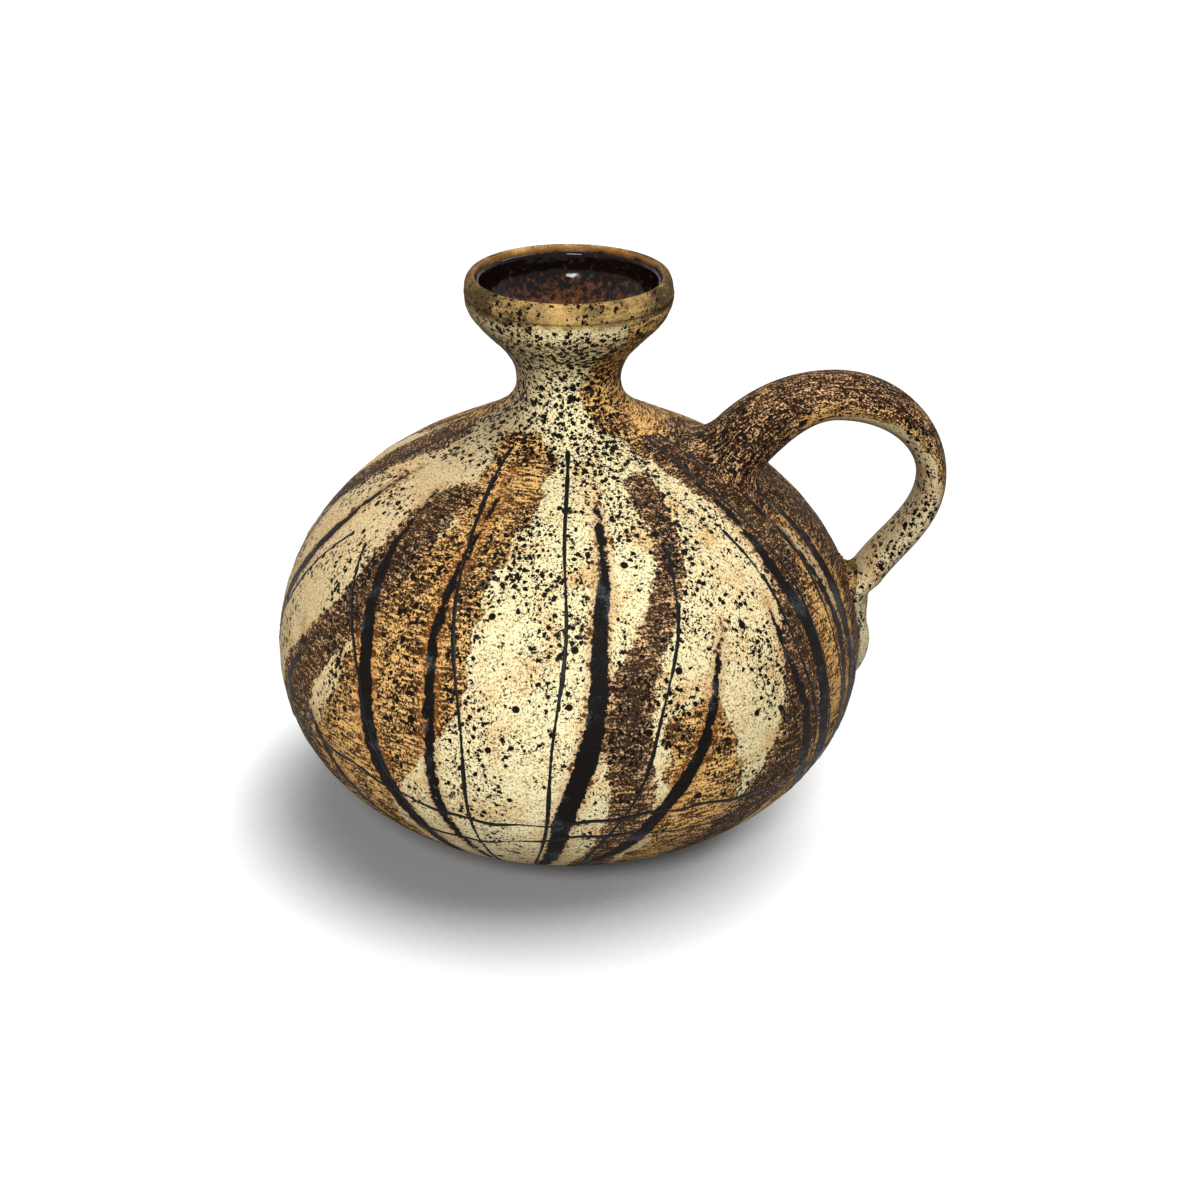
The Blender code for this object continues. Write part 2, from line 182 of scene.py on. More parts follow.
def close_up(piece, crease, weld):
    """Near points are merged, faces turned outwards, and shading smoothed below the crease."""
    bpy.ops.object.select_all(action="DESELECT")
    piece.select_set(True)
    bpy.context.view_layer.objects.active = piece
    bpy.ops.object.mode_set(mode="EDIT")
    bpy.ops.mesh.select_all(action="SELECT")
    if weld:
        bpy.ops.mesh.remove_doubles(threshold=weld)
    bpy.ops.mesh.normals_make_consistent(inside=False)
    bpy.ops.object.mode_set(mode="OBJECT")
    bpy.ops.object.shade_smooth_by_angle(angle=crease)


def turned_piece(name, section, steps):
    bpy.ops.object.select_all(action="DESELECT")
    bpy.ops.mesh.primitive_circle_add(vertices=3, radius=0.001)
    piece = bpy.context.object
    piece.name = name
    bpy.ops.object.mode_set(mode="EDIT")
    bpy.ops.mesh.select_all(action="SELECT")
    bpy.ops.mesh.merge(type="CENTER")
    bpy.ops.transform.translate(value=(section[0][0], 0, section[0][1]))
    for step in np.diff(section, axis=0):
        bpy.ops.mesh.extrude_vertices_move(TRANSFORM_OT_translate={"value": (step[0], 0, step[1])})
    bpy.ops.mesh.select_all(action="SELECT")
    bpy.ops.mesh.spin(steps=steps, angle=math.tau, center=(0, 0, 0), axis=(0, 0, 1))
    bpy.ops.object.mode_set(mode="OBJECT")
    close_up(piece, TURNED_CREASE, WELD)
    return piece


def points_of(piece):
    found = np.empty(len(piece.data.vertices) * 3, np.float32)
    piece.data.vertices.foreach_get("co", found)
    return found.reshape(-1, 3).astype(float)


def set_points(piece, points):
    piece.data.vertices.foreach_set("co", points.astype(np.float32).ravel())
    piece.data.update()


def wall_at(path, height):
    """The point of a path at a height."""
    return [float(np.interp(height, path[:, 1], path[:, 0])), height]


def between(path, low, high, every=1):
    """The run of a path from one height to another."""
    kept = path[(path[:, 1] > low + END_CLEAR) & (path[:, 1] < high - END_CLEAR)][::every]
    return np.vstack([wall_at(path, low), kept, wall_at(path, high)])


# %% [markdown]
# ## Body
# The body is a hollow globe with a flat turned base. Its upper edge meets the neck where the two were luted,
# and on the fired pot that joint is wiped smooth, so both pieces share one ring there.

# %% Body
BASE_BEVEL = 0.0012
TURN_STEPS = 240
base_radius = outside[0, 0] - BASE_BEVEL
floor_radius = wall_at(inside, FLOOR_THICKNESS)[0]
body_section = np.vstack(
    [
        [0, FLOOR_THICKNESS],
        [floor_radius * 0.5, FLOOR_THICKNESS],
        between(inside, FLOOR_THICKNESS, JOINT_HEIGHT, every=4),
        between(outside, BASE_BEVEL, JOINT_HEIGHT)[::-1],
        [base_radius + BASE_BEVEL * 0.3, BASE_BEVEL * 0.3],
        [base_radius, 0],
        [base_radius * 0.5, 0],
        [0, 0],
    ]
)
body_shell = turned_piece("body_shell", body_section, TURN_STEPS)
print("body shell", len(body_shell.data.polygons), "faces")

# %% [markdown]
# ## Neck
# The neck opens into a cup. A line is incised under the lip, and the lip is rounded over to its inner side.

# %% Neck
LINE_DEPTH = 0.00045
LINE_WIDTH = 0.0012
LINE_DROP = 0.0002


def lip_arch(first, last, count):
    """Points over the lip between two angles in degrees. Angle 0 is its outer side."""
    turn = np.radians(np.linspace(first, last, count))[:, None]
    middle = CUP_RADIUS - LIP_THICKNESS / 2
    return np.hstack([middle + LIP_THICKNESS / 2 * np.cos(turn), CUP_TOP + LIP_BAND * np.sin(turn)])


groove = np.linspace(1, -1, 7)[:, None]
incised = np.hstack(
    [
        CUP_RADIUS - LINE_DEPTH * np.cos(groove * math.pi / 2) ** 2,
        CUP_TOP - LINE_DROP + groove * LINE_WIDTH / 2,
    ]
)
neck_section = np.vstack(
    [
        between(inside, JOINT_HEIGHT, CUP_TOP, every=2),
        lip_arch(172, 10, 26),
        incised,
        between(outside, JOINT_HEIGHT, CUP_TOP - LINE_WIDTH)[::-1],
        wall_at(inside, JOINT_HEIGHT),
    ]
)
neck_shell = turned_piece("neck_shell", neck_section, TURN_STEPS)
print("neck shell", len(neck_shell.data.polygons), "faces")

# %% [markdown]
# ## The thrower's hand
# A thrown wall is never quite true. Soft ridges left by the fingers climb it in a slow spiral, and the whole
# pot is a little out of round. One function of place moves the points of both pieces, so they stay joined.

# %% Throwing ridges
RIDGE_PITCH = 0.0062
RIDGE_HEIGHT = 0.00007
FINE_RIDGE_HEIGHT = 0.00004
OVAL = 0.00015
THREE_SIDED = 0.000072
STILL_RADIUS = 0.006
FADE_WIDTH = 0.020
FADE_HEIGHT = 0.012


def thrown(points):
    """The same points, moved out or in as the thrower's fingers left them."""
    around = np.arctan2(points[:, 0], -points[:, 1])
    radius = np.hypot(points[:, 0], points[:, 1])
    height = points[:, 2]
    spiral = height / RIDGE_PITCH * math.tau + around
    ridges = RIDGE_HEIGHT * np.sin(spiral) + FINE_RIDGE_HEIGHT * np.sin(2.3 * spiral + 1.7)
    uneven = OVAL * np.sin(2 * around + 0.6) + THREE_SIDED * np.sin(3 * around + 2.0)
    free = np.clip((radius - STILL_RADIUS) / FADE_WIDTH, 0, 1) * np.clip(height / FADE_HEIGHT, 0, 1)
    grown = 1 + (ridges + uneven) * free / np.maximum(radius, STILL_RADIUS)
    return np.column_stack([points[:, 0] * grown, points[:, 1] * grown, height])


for shell in (body_shell, neck_shell):
    set_points(shell, thrown(points_of(shell)))
print("body box after throwing", [round(float(v), 4) for v in points_of(body_shell).max(0)])

# %% [markdown]
# ## Lining glaze
# The inside is glazed up to the lip. It is a skin half a millimetre thick that stands a hair off the clay, so
# it is drawn as a thin closed shell of its own.

# %% Lining
GLAZE_THICKNESS = 0.0005
SKIN_GAP = 0.00012
GLAZE_LINE = 0.0016
EDGE_LEFT = 0.2
LINER_STEPS = 160
lining = np.vstack([between(inside, FLOOR_THICKNESS, CUP_TOP, every=2), lip_arch(178, 112, 14)])
lining = lining[lining[:, 1] < float(neck_high[2]) - GLAZE_LINE]
inward = left_of(lining)
glaze_back = lining + inward * SKIN_GAP
glaze_front = lining + inward * (SKIN_GAP + GLAZE_THICKNESS)
glaze_front[-1] = glaze_back[-1] + (glaze_front[-1] - glaze_back[-1]) * EDGE_LEFT
liner_section = np.vstack(
    [
        [0, FLOOR_THICKNESS + SKIN_GAP + GLAZE_THICKNESS],
        glaze_front,
        glaze_back[::-1],
        [0, FLOOR_THICKNESS + SKIN_GAP],
    ]
)
liner = turned_piece("liner_skin", liner_section, LINER_STEPS)
set_points(liner, thrown(points_of(liner)))
print("liner", len(liner.data.polygons), "faces")

# %% [markdown]
# ## Handle
# A handle is pulled from a lump of wet clay into a long tapering strap, hung to stiffen and bent on. It is
# made the same way here: a straight tube is extruded ring by ring, then each ring is carried to its own place
# on the loop. The first rings flare out until they lie on the shoulder, and the last ones flatten into the
# tail that the thumb pressed on the belly.

# %% Strap line
ROOT_LEAN = math.radians(50)
ROOT_RADIUS = 0.0426
ROOT_SUNK = 0.0170
CROWN_OUT = 0.0280
CROWN_RISE = 0.0166
FAR_REACH = 0.0172
FAR_HEIGHT = WIDEST_HEIGHT + 0.0475
FAR_PULL = 0.0145
LANDING_HEIGHT = WIDEST_HEIGHT + 0.0125
LANDING_PULL = (0.0035, 0.0140)
TAIL_LENGTH = 0.0240
ROOT_SIZE = (0.0170, 0.0270)
CROWN_SIZE = (0.0122, 0.0195)
FAR_SIZE = (0.0078, 0.0160)
LANDING_SIZE = (0.0092, 0.0146)
TAIL_SIZE = (0.0082, 0.0120)
SUNK_STEPS = 14
CLIMB_STEPS = 40
ARCH_STEPS = 45
DROP_STEPS = 44
TAIL_STEPS = 29


def strap_stations():
    """Centre points, and thickness and width at each, from inside the shoulder to the tail's end."""
    shoulder = outside[outside[:, 1] >= WIDEST_HEIGHT][::-1]
    shoulder = shoulder[shoulder[:, 1] < WAIST_HEIGHT]
    root = np.array([ROOT_RADIUS, np.interp(ROOT_RADIUS, shoulder[:, 0], shoulder[:, 1])])
    lean = np.array([math.cos(ROOT_LEAN), math.sin(ROOT_LEAN)])
    crown = root + [CROWN_OUT, CROWN_RISE]
    far = np.array([BODY_RADIUS + FAR_REACH, FAR_HEIGHT])
    landing = np.array(wall_at(outside, LANDING_HEIGHT))
    bend = np.array([root[0] + CROWN_RISE / math.tan(ROOT_LEAN), crown[1]])
    sunk = root - lean * ROOT_SUNK * np.linspace(1, 0, SUNK_STEPS)[:, None]
    climb = cubic(root, root + (bend - root) * 2 / 3, crown + (bend - crown) * 2 / 3, crown, CLIMB_STEPS)
    turn = np.linspace(math.pi / 2, 0, ARCH_STEPS)[1:, None]
    arch = np.hstack(
        [crown[0] + (far[0] - crown[0]) * np.cos(turn), far[1] + (crown[1] - far[1]) * np.sin(turn)]
    )
    drop = cubic(far, far - [0, FAR_PULL], landing + LANDING_PULL, landing, DROP_STEPS)
    tail_heights = LANDING_HEIGHT - TAIL_LENGTH * np.linspace(0, 1, TAIL_STEPS)[1:]
    tail = np.array([wall_at(outside, height) for height in tail_heights])
    line = np.vstack([sunk, climb, arch, drop, tail])
    marks = np.cumsum([len(sunk) - 1, len(climb), len(arch), len(drop), len(tail)])
    station = np.arange(len(line))
    sizes = np.array([ROOT_SIZE, CROWN_SIZE, FAR_SIZE, LANDING_SIZE, TAIL_SIZE])
    spot = np.clip(np.searchsorted(marks, station, side="right") - 1, 0, len(marks) - 2)
    ease = np.clip((station - marks[spot]) / (marks[spot + 1] - marks[spot]), 0, 1)
    ease = (ease * ease * (3 - 2 * ease))[:, None]
    return line, sizes[spot] + (sizes[spot + 1] - sizes[spot]) * ease, marks


strap_line, strap_size, strap_marks = strap_stations()
strap_out = left_of(strap_line)
print("strap", round(np.linalg.norm(np.diff(strap_line, axis=0), axis=1).sum() * 1000), "mm long")


# %% Height above the wall
def above_wall(points):
    """Each point's height above the body's skin, and the skin's outward direction there."""
    radius = np.hypot(points[..., 0], points[..., 1])
    spot = np.stack([radius, points[..., 2]], -1)[..., None, :]
    start, step = outside[:-1], np.diff(outside, axis=0)
    share = np.clip(((spot - start) * step).sum(-1) / (step * step).sum(-1), 0, 1)
    nearest = start + share[..., None] * step
    away = np.linalg.norm(spot - nearest, axis=-1)
    pick = away.argmin(-1)
    out = np.stack([step[pick, 1], -step[pick, 0]], -1)
    out /= np.linalg.norm(out, axis=-1)[..., None]
    near = np.take_along_axis(nearest, pick[..., None, None], -2)[..., 0, :]
    height = ((spot[..., 0, :] - near) * out).sum(-1)
    sideways = out[..., :1] * points[..., :2] / np.maximum(radius, 1e-6)[..., None]
    return height, np.concatenate([sideways, out[..., 1:]], -1)


# %% Strap sections
STRAP_SIDES = 56
FLARE_RINGS = 14
STRAP_RINGS = 190
FLARE_REACH = 0.0062
FLARE_SPREAD = 1.1
FLARE_SUNK = 0.00025
SEARCH_STATIONS = 40
SEARCH_STEPS = 161
CLIMB_STATION = 20
PULL_MARKS = 0.010
FINE_PULL_MARKS = 0.007

strap_angle = np.arange(STRAP_SIDES) * math.tau / STRAP_SIDES


def strap_skin(place, angle):
    """Points of the strap at places counted in stations. Angle 0 is the loop's outer side."""
    stations = np.arange(len(strap_line))
    x, z = (np.interp(place, stations, strap_line[:, k]) for k in (0, 1))
    ox, oz = (np.interp(place, stations, strap_out[:, k]) for k in (0, 1))
    darker_share, wide = (np.interp(place, stations, strap_size[:, k]) / 2 for k in (0, 1))
    pulled = 1 + PULL_MARKS * np.cos(5 * angle + 0.4) + FINE_PULL_MARKS * np.cos(9 * angle + 0.02 * place)
    lift = darker_share * np.cos(angle) * pulled
    return np.stack([x + ox * lift, wide * np.sin(angle) * pulled, z + oz * lift], -1)


def crossing(angle):
    """The place where a line along the strap leaves the shoulder."""
    places = np.linspace(0, SEARCH_STATIONS, SEARCH_STEPS)
    height, _ = above_wall(strap_skin(places, np.full(len(places), angle)))
    last = np.flatnonzero(height < 0)[-1]
    share = height[last] / (height[last] - height[last + 1])
    return places[last] + share * (places[last + 1] - places[last])


seat = np.array([crossing(angle) for angle in strap_angle])
spacing = np.linalg.norm(strap_line[CLIMB_STATION] - strap_line[CLIMB_STATION - 1])
flank = seat + FLARE_REACH / spacing
corner = strap_skin(seat, strap_angle)
flank_points = strap_skin(flank, strap_angle)
_, skin_normal = above_wall(corner)
leaving = corner - strap_skin(seat, strap_angle + math.pi)
leaving -= (leaving * skin_normal).sum(-1)[:, None] * skin_normal
leaving /= np.linalg.norm(leaving, axis=-1)[:, None]
foot = corner + leaving * FLARE_REACH * FLARE_SPREAD
for _ in range(3):
    height, normal = above_wall(foot)
    foot = foot - normal * (height + FLARE_SUNK)[:, None]
t = np.linspace(0, 1, FLARE_RINGS)[:, None, None]
flare = (1 - t) ** 2 * foot + 2 * t * (1 - t) * corner + t**2 * flank_points
last_place = len(strap_line) - 1
t = np.linspace(0, 1, STRAP_RINGS - FLARE_RINGS + 1)[1:, None]
strap_place = flank + (last_place - flank) * t
strap_rings = strap_skin(strap_place, np.broadcast_to(strap_angle, strap_place.shape))
print("flare footprint", np.round(np.ptp(foot, axis=0) * 1000, 1), "mm")

# %% [markdown]
# The tail is a thumbed smear: its section is a low bump whose edges run out flat on the wall. Each ring past
# the landing is carried from the strap's oval to that bump.

# %% Thumbed tail
TAIL_PROUD = 0.0040
TAIL_SPREAD = 0.0085
TAIL_SUNK = 0.0022
EDGE_SUNK = 0.0001
ROUNDED_FROM = 0.55
THUMB_PLACE = 0.45
THUMB_REACH = 0.14
THUMB_DEPTH = 0.28
BLEND_BEFORE = 9
BLEND_STATIONS = 14
tail_from = strap_marks[3] - BLEND_BEFORE
tail_share = np.clip((strap_place - tail_from) / (last_place - tail_from), 0, 1)
blend = np.clip((strap_place - tail_from) / BLEND_STATIONS, 0, 1)
blend = blend * blend * (3 - 2 * blend)
turned_angle = (strap_angle + math.pi) % math.tau - math.pi
outer_half = np.abs(turned_angle) <= math.pi / 2
across = np.where(outer_half, turned_angle, np.sign(turned_angle) * math.pi - turned_angle) / (math.pi / 2)
arched = np.cos(across * math.pi / 2)
rounding = np.clip((tail_share - ROUNDED_FROM) / (1 - ROUNDED_FROM), 0, 1)
ends = np.sqrt(np.clip(1 - rounding**2.2, 0, 1))
thumb = 1 - THUMB_DEPTH * np.exp(-(((tail_share - THUMB_PLACE) / THUMB_REACH) ** 2)) * arched**2
bump_height = TAIL_PROUD * ends * thumb * arched**1.6
bump_height = np.where(outer_half, bump_height, -TAIL_SUNK * arched) - EDGE_SUNK
bump_side = across * TAIL_SPREAD * (0.35 + 0.65 * ends)
tail_z = np.interp(strap_place, np.arange(len(strap_line)), strap_line[:, 1])
tail_r = np.interp(tail_z, outside[:, 1], outside[:, 0])
turn = bump_side / tail_r
on_wall = np.stack([tail_r * np.cos(turn), tail_r * np.sin(turn), tail_z], -1)
_, wall_normal = above_wall(on_wall)
bump = on_wall + wall_normal * bump_height[..., None]
strap_rings = strap_rings + (bump - strap_rings) * blend[..., None]
sections = np.concatenate([flare, strap_rings])
print("strap rings", sections.shape)


# %% Bend the tube to its loop
RING_STEP = 0.001
STRAP_CREASE = math.radians(60)


def tube_of_rings(name, sides, rings):
    """A straight tube, closed at both ends, with its ring and column known for every point."""
    bpy.ops.object.select_all(action="DESELECT")
    bpy.ops.mesh.primitive_circle_add(vertices=sides, radius=0.01, fill_type="NGON")
    piece = bpy.context.object
    piece.name = name
    bpy.ops.object.mode_set(mode="EDIT")
    bpy.ops.mesh.select_all(action="SELECT")
    for _ in range(rings - 1):
        bpy.ops.mesh.extrude_region_move(TRANSFORM_OT_translate={"value": (0, 0, RING_STEP)})
    bpy.ops.mesh.select_all(action="DESELECT")
    bpy.ops.mesh.select_non_manifold(extend=False)
    bpy.ops.mesh.edge_face_add()
    bpy.ops.object.mode_set(mode="OBJECT")
    points = points_of(piece)
    ring = np.rint(points[:, 2] / RING_STEP).astype(int)
    column = np.rint(np.arctan2(points[:, 1], points[:, 0]) / (math.tau / sides)).astype(int) % sides
    return piece, ring, column


strap, strap_ring, strap_column = tube_of_rings("pulled_handle", STRAP_SIDES, len(sections))
set_points(strap, sections[strap_ring, strap_column])
close_up(strap, STRAP_CREASE, 0)
print("handle", np.round(np.ptp(points_of(strap), axis=0) * 1000, 1), "mm")

# %% [markdown]
# ## Wad in the crook
# Where the strap comes down on the wall, a small wad of clay was pressed into the crook from inside the loop.
# Its open side is hollow, and it thins out round the strap's sides. Each ring of another tube is one cut
# through that wad: a hollow curve from strap to wall, and a hidden corner sunk in both.

# %% Crook wad
WAD_REACH = 0.0060
WAD_RINGS = 61
HOLLOW_STEPS = 16
HIDDEN_STEPS = 4
WAD_HALF_TURN = math.radians(74)
WAD_EDGE = 0.0002
WAD_BEND = 0.0003
WAD_CORE = 0.0008
WAD_SUNK = 0.0012
LUMP_HEIGHT = 0.0005
COARSE_LUMPS = 2100
FINE_LUMPS = 4300
wad_turn = np.linspace(-0.99, 0.99, WAD_RINGS)
wad_reach = WAD_REACH * np.sqrt(1 - wad_turn**2) + WAD_EDGE


def landing_place(angle):
    """The place where a line along the strap comes down on the belly."""
    places = np.linspace(strap_marks[2], last_place, 400)
    height, _ = above_wall(strap_skin(places, np.full(len(places), angle)))
    return places[np.flatnonzero(height < 0)[0]]


def wad_cut(turn, reach):
    """One closed cut through the wad, at an angle round the strap."""
    angle = math.pi + turn * WAD_HALF_TURN
    seat = landing_place(angle)
    pace = np.linalg.norm(strap_line[int(seat)] - strap_line[int(seat) - 1])
    corner, high, across = strap_skin(
        np.array([seat, seat - reach / pace, seat]), np.array([angle, angle, angle + math.pi])
    )
    _, out = above_wall(corner)
    away = corner - across
    side = away / np.linalg.norm(away)
    along = away - (away @ out) * out
    low = corner + along / np.linalg.norm(along) * reach
    height, normal = above_wall(low)
    low = low - normal * (height + WAD_EDGE)
    high = high - side * WAD_EDGE
    bend = corner + (out + side) * WAD_BEND
    t = np.linspace(0, 1, HOLLOW_STEPS)[:, None]
    hollow = (1 - t) ** 2 * high + 2 * t * (1 - t) * bend + t**2 * low
    lumps = np.sin(hollow * COARSE_LUMPS + [0.4, 1.3, 2.2]).prod(1)
    lumps = lumps + 0.7 * np.sin(hollow * FINE_LUMPS + 0.5).prod(1)
    hollow[1:-1] += out * LUMP_HEIGHT * lumps[1:-1, None]
    core = corner - (out + side) * WAD_CORE
    in_wall = low - out * WAD_SUNK
    in_strap = high - side * WAD_SUNK
    return np.vstack([hollow, in_wall, (in_wall + core) / 2, core, (core + in_strap) / 2])


wad_cuts = np.array([wad_cut(turn, reach) for turn, reach in zip(wad_turn, wad_reach)])
wad, wad_ring, wad_column = tube_of_rings("crook_wad", HOLLOW_STEPS + HIDDEN_STEPS, WAD_RINGS)
set_points(wad, wad_cuts[wad_ring, wad_column])
close_up(wad, STRAP_CREASE, 0)
print("wad", np.round(np.ptp(points_of(wad), axis=0) * 1000, 1), "mm")

# %% [markdown]
# ## Where the washes lie
# The washes are brushed bands that lean round the pot, with pools of tan between them. Their edges are wanted
# crisp and ragged, finer than the mesh, so each point only stores how far it lies inside a wash, in metres,
# and the material cuts that distance with noise. Angles run round the pot from the front, positive to the
# handle, and the length up the wall stands for height, so that shapes keep their size on the shoulder.

# %% Wash bands
FAR_OUTSIDE = -0.05
LEAST_RADIUS = 0.012
WAVERS = [(3.5, 0.021, 1.0), (2.0, 0.0095, 2.2)]  # swing in degrees, length up the wall, share of the waver
WIDTH_WAVER = 0.16
WIDTH_WAVE = 0.013
BROWN_BANDS = [
    # angle at the top and the foot, length up the wall at the top and the foot, half widths there, waver
    (30, -4, 0.158, 0.000, 0.0046, 0.0066, 0.3),
    (66, 30, 0.166, 0.010, 0.0062, 0.0120, 2.9),
    (96, 66, 0.160, 0.010, 0.0120, 0.0115, 1.9),
    (176, 118, 0.190, 0.000, 0.0080, 0.0150, 0.8),
    (-148, -196, 0.180, 0.000, 0.0070, 0.0130, 2.6),
    (-44, -76, 0.152, 0.000, 0.0046, 0.0180, 1.2),
    (-92, -124, 0.166, 0.000, 0.0070, 0.0120, 0.5),
]
TAN_BANDS = [
    (-24, -58, 0.172, -0.030, 0.0075, 0.0300, 2.2),
    (30, 8, 0.094, -0.030, 0.0070, 0.0220, 0.4),
    (92, 76, 0.240, -0.030, 0.0250, 0.0130, 1.0),
    (62, 50, 0.118, -0.030, 0.0040, 0.0150, 2.7),
    (-116, -168, 0.190, -0.030, 0.0080, 0.0240, 0.1),
    (150, 166, 0.120, -0.030, 0.0060, 0.0220, 1.6),
]


def place_on_wall(points):
    """Angle from the front in degrees, length up the wall and radius, for points on body or neck."""
    radius = np.hypot(points[:, 0], points[:, 1])
    angle = np.degrees(np.arctan2(points[:, 0], -points[:, 1]))
    up = np.interp(points[:, 2], outside[:, 1], run_up) + np.maximum(points[:, 2] - CUP_TOP, 0)
    return angle, up, radius


def apart(angle, other):
    """The angle from one direction to another, the short way round."""
    return (angle - other + 180) % 360 - 180


def inside_bands(angle, up, radius, bands):
    """How far each point lies inside the nearest band, in metres."""
    best = np.full(len(angle), FAR_OUTSIDE)
    for top, foot, high, low, wide_top, wide_foot, waver in bands:
        share = np.clip((high - up) / (high - low), 0, 1)
        middle = top + (foot - top) * share
        for swing, length, phase in WAVERS:
            middle = middle + swing * np.sin(up / length + phase * waver)
        half = wide_top + (wide_foot - wide_top) * share
        half = half * (1 + WIDTH_WAVER * np.sin(up / WIDTH_WAVE + 3 * waver))
        side = np.radians(apart(angle, middle)) * np.maximum(radius, LEAST_RADIUS)
        past_end = np.maximum(0, up - high + half) + np.maximum(0, low + half - up)
        best = np.maximum(best, half - np.hypot(side, past_end))
    return best


# %% [markdown]
# ## Brushed grasses
# Over the washes goes a plain brushed ornament, tufts of grass that rise from the lower belly and fan out
# over the shoulder. Each blade is one stroke: a bent line with a half width at every step, full in the middle
# and lifted off to a point.

# %% Grass blades
TUFT_FOOT = 0.024
FOOT_SPREAD = 0.24
BLADES = [
    # lean in degrees, length up the wall at the tip, bow in degrees, half width
    (-40, 0.148, -5, 0.0031),
    (-13, 0.160, -6, 0.0021),
    (24, 0.150, 5, 0.0034),
    (47, 0.112, 8, 0.0025),
    (-53, 0.098, -8, 0.0020),
]
TUFTS = [(-14, 1.0), (62, -0.34), (164, 1.1), (-104, -0.8)]  # angle of the foot, share of the lean
LINE_STEPS = 70
STROKE_REACH = 65
STROKE_MARGIN = 0.02
LEAST_STROKE = 0.0002


def blade_line(foot, lean, tip, bow):
    """Angle and length up the wall along a stroke, with the share of the stroke."""
    t = np.linspace(0, 1, LINE_STEPS)
    spread = lean * (FOOT_SPREAD + (1 - FOOT_SPREAD) * t**1.4)
    sway = bow * np.sin(math.pi * t) + 0.5 * np.sin(17 * t + lean)
    return foot + spread + sway, TUFT_FOOT + (tip - TUFT_FOOT) * t, t


def inside_strokes(angle, up, radius, strokes):
    """How far each point lies inside the nearest stroke, in metres."""
    best = np.full(len(angle), FAR_OUTSIDE)
    for line_angle, line_up, half in strokes:
        beside = np.abs(apart(angle, line_angle.mean())) < STROKE_REACH
        level = (up > line_up.min() - STROKE_MARGIN) & (up < line_up.max() + STROKE_MARGIN)
        near = np.flatnonzero(beside & level)
        side = np.radians(apart(angle[near, None], line_angle)) * radius[near, None]
        away = np.hypot(side, up[near, None] - line_up)
        best[near] = np.maximum(best[near], (half - away).max(1))
    return best


strokes = []
for foot, turn in TUFTS:
    for lean, tip, bow, half in BLADES:
        line_angle, line_up, t = blade_line(foot, lean * turn, tip, bow * turn)
        full = half * (0.15 + 0.85 * np.sin(math.pi * (0.06 + 0.76 * t))) * (1 - t) ** 0.40
        strokes.append((line_angle, line_up, full + LEAST_STROKE))
print("blades", len(strokes))

# %% [markdown]
# The material also wants to know which way the brush and the wheel dragged, how thick the specks lie, where
# olive and beige painted shade lies on the sides, where the lip's own wash is and how far the lining's glaze
# ran on the lip.
# The drag is stored as a stretched place: short steps round the pot and long ones up the wall, so that
# plain noise read there comes out as streaks round the pot.

# %% Store the washes on the shells
DRAG_STRETCH = 4.0
DRAG_RADIUS = 0.060
NECK_DRAG_RADIUS = 0.012
NECK_FROM = 0.150
NECK_FADE = 0.020
LOW_BELLY = [0.020, 0.060]
ROOT_WASH_CENTRE = (ROOT_RADIUS + 0.002, 0, 0.104)
ROOT_WASH_REACH = 0.021
LIP_FOOT = CUP_TOP - 0.0010
LIP_WASH_FOOT = CUP_TOP - 0.0012
GLAZE_RUN = -0.0008
# crowding of the specks: lengths up the wall, and how dense they lie there
SPECK_UP = [0.060, 0.100, 0.140, 0.156, 0.168, 0.200, 0.209]
SPECK_CROWD = [0, 0.50, 0.75, 0.45, 1.25, 1.7, 0.6]


def store(piece, name, values):
    """Keep a number or a place for every point of a piece. A single number goes to all of them."""
    values = np.asarray(values, np.float32)
    if values.ndim == 0:
        values = np.full(len(piece.data.vertices), values)
    kind, field = ("FLOAT", "value") if values.ndim == 1 else ("FLOAT_VECTOR", "vector")
    layer = piece.data.attributes.new(name, kind, "POINT")
    layer.data.foreach_set(field, values.ravel())


for shell in (body_shell, neck_shell):
    points = points_of(shell)
    angle, up, radius = place_on_wall(points)
    turn = np.radians(angle)
    by_root = ROOT_WASH_REACH - np.linalg.norm((points - ROOT_WASH_CENTRE) * [1, 0.9, 1], axis=1)
    store(shell, "brown_wash", np.maximum(inside_bands(angle, up, radius, BROWN_BANDS), by_root))
    on_lip = points[:, 2] > LIP_FOOT
    store(shell, "tan_wash", inside_bands(angle, up, radius, TAN_BANDS) + FAR_OUTSIDE * on_lip)
    store(shell, "black_brush", inside_strokes(angle, up, radius, strokes))
    facing = np.interp(np.abs(apart(angle, -4)), [30, 75], [1, 0.50])
    store(shell, "speckle", np.interp(up, SPECK_UP, SPECK_CROWD) * facing - 0.5 * on_lip)
    store(shell, "lip_wash", points[:, 2] - LIP_WASH_FOOT)
    past_crest = CUP_RADIUS - LIP_THICKNESS / 2 + GLAZE_RUN - radius
    store(shell, "lip_glaze", np.where(points[:, 2] > CUP_TOP, past_crest, FAR_OUTSIDE))
    # Painted shade: the sides, turned from the front light, are darkened olive on the neck and warm beige on
    # the body, and the low belly is beige too.
    to_sides = np.interp(np.abs(apart(angle, 6)), [17, 65, 110, 150], [0, 1, 1, 0.15])
    on_neck = np.clip((up - NECK_FROM) / NECK_FADE, 0, 1)
    store(shell, "olive_tone_and_shade", to_sides * on_neck)
    low_down = np.interp(up, LOW_BELLY, [1, 0])
    store(shell, "warm_painted_shade", np.maximum(to_sides, low_down) * (1 - on_neck))
    drag_radius = np.interp(up, [0.130, 0.170], [DRAG_RADIUS, NECK_DRAG_RADIUS])
    dragged = [np.sin(turn) * drag_radius, np.cos(turn) * drag_radius, up * DRAG_STRETCH]
    store(shell, "brushed", np.column_stack(dragged))
    print(shell.name, "stores", len(points), "points")
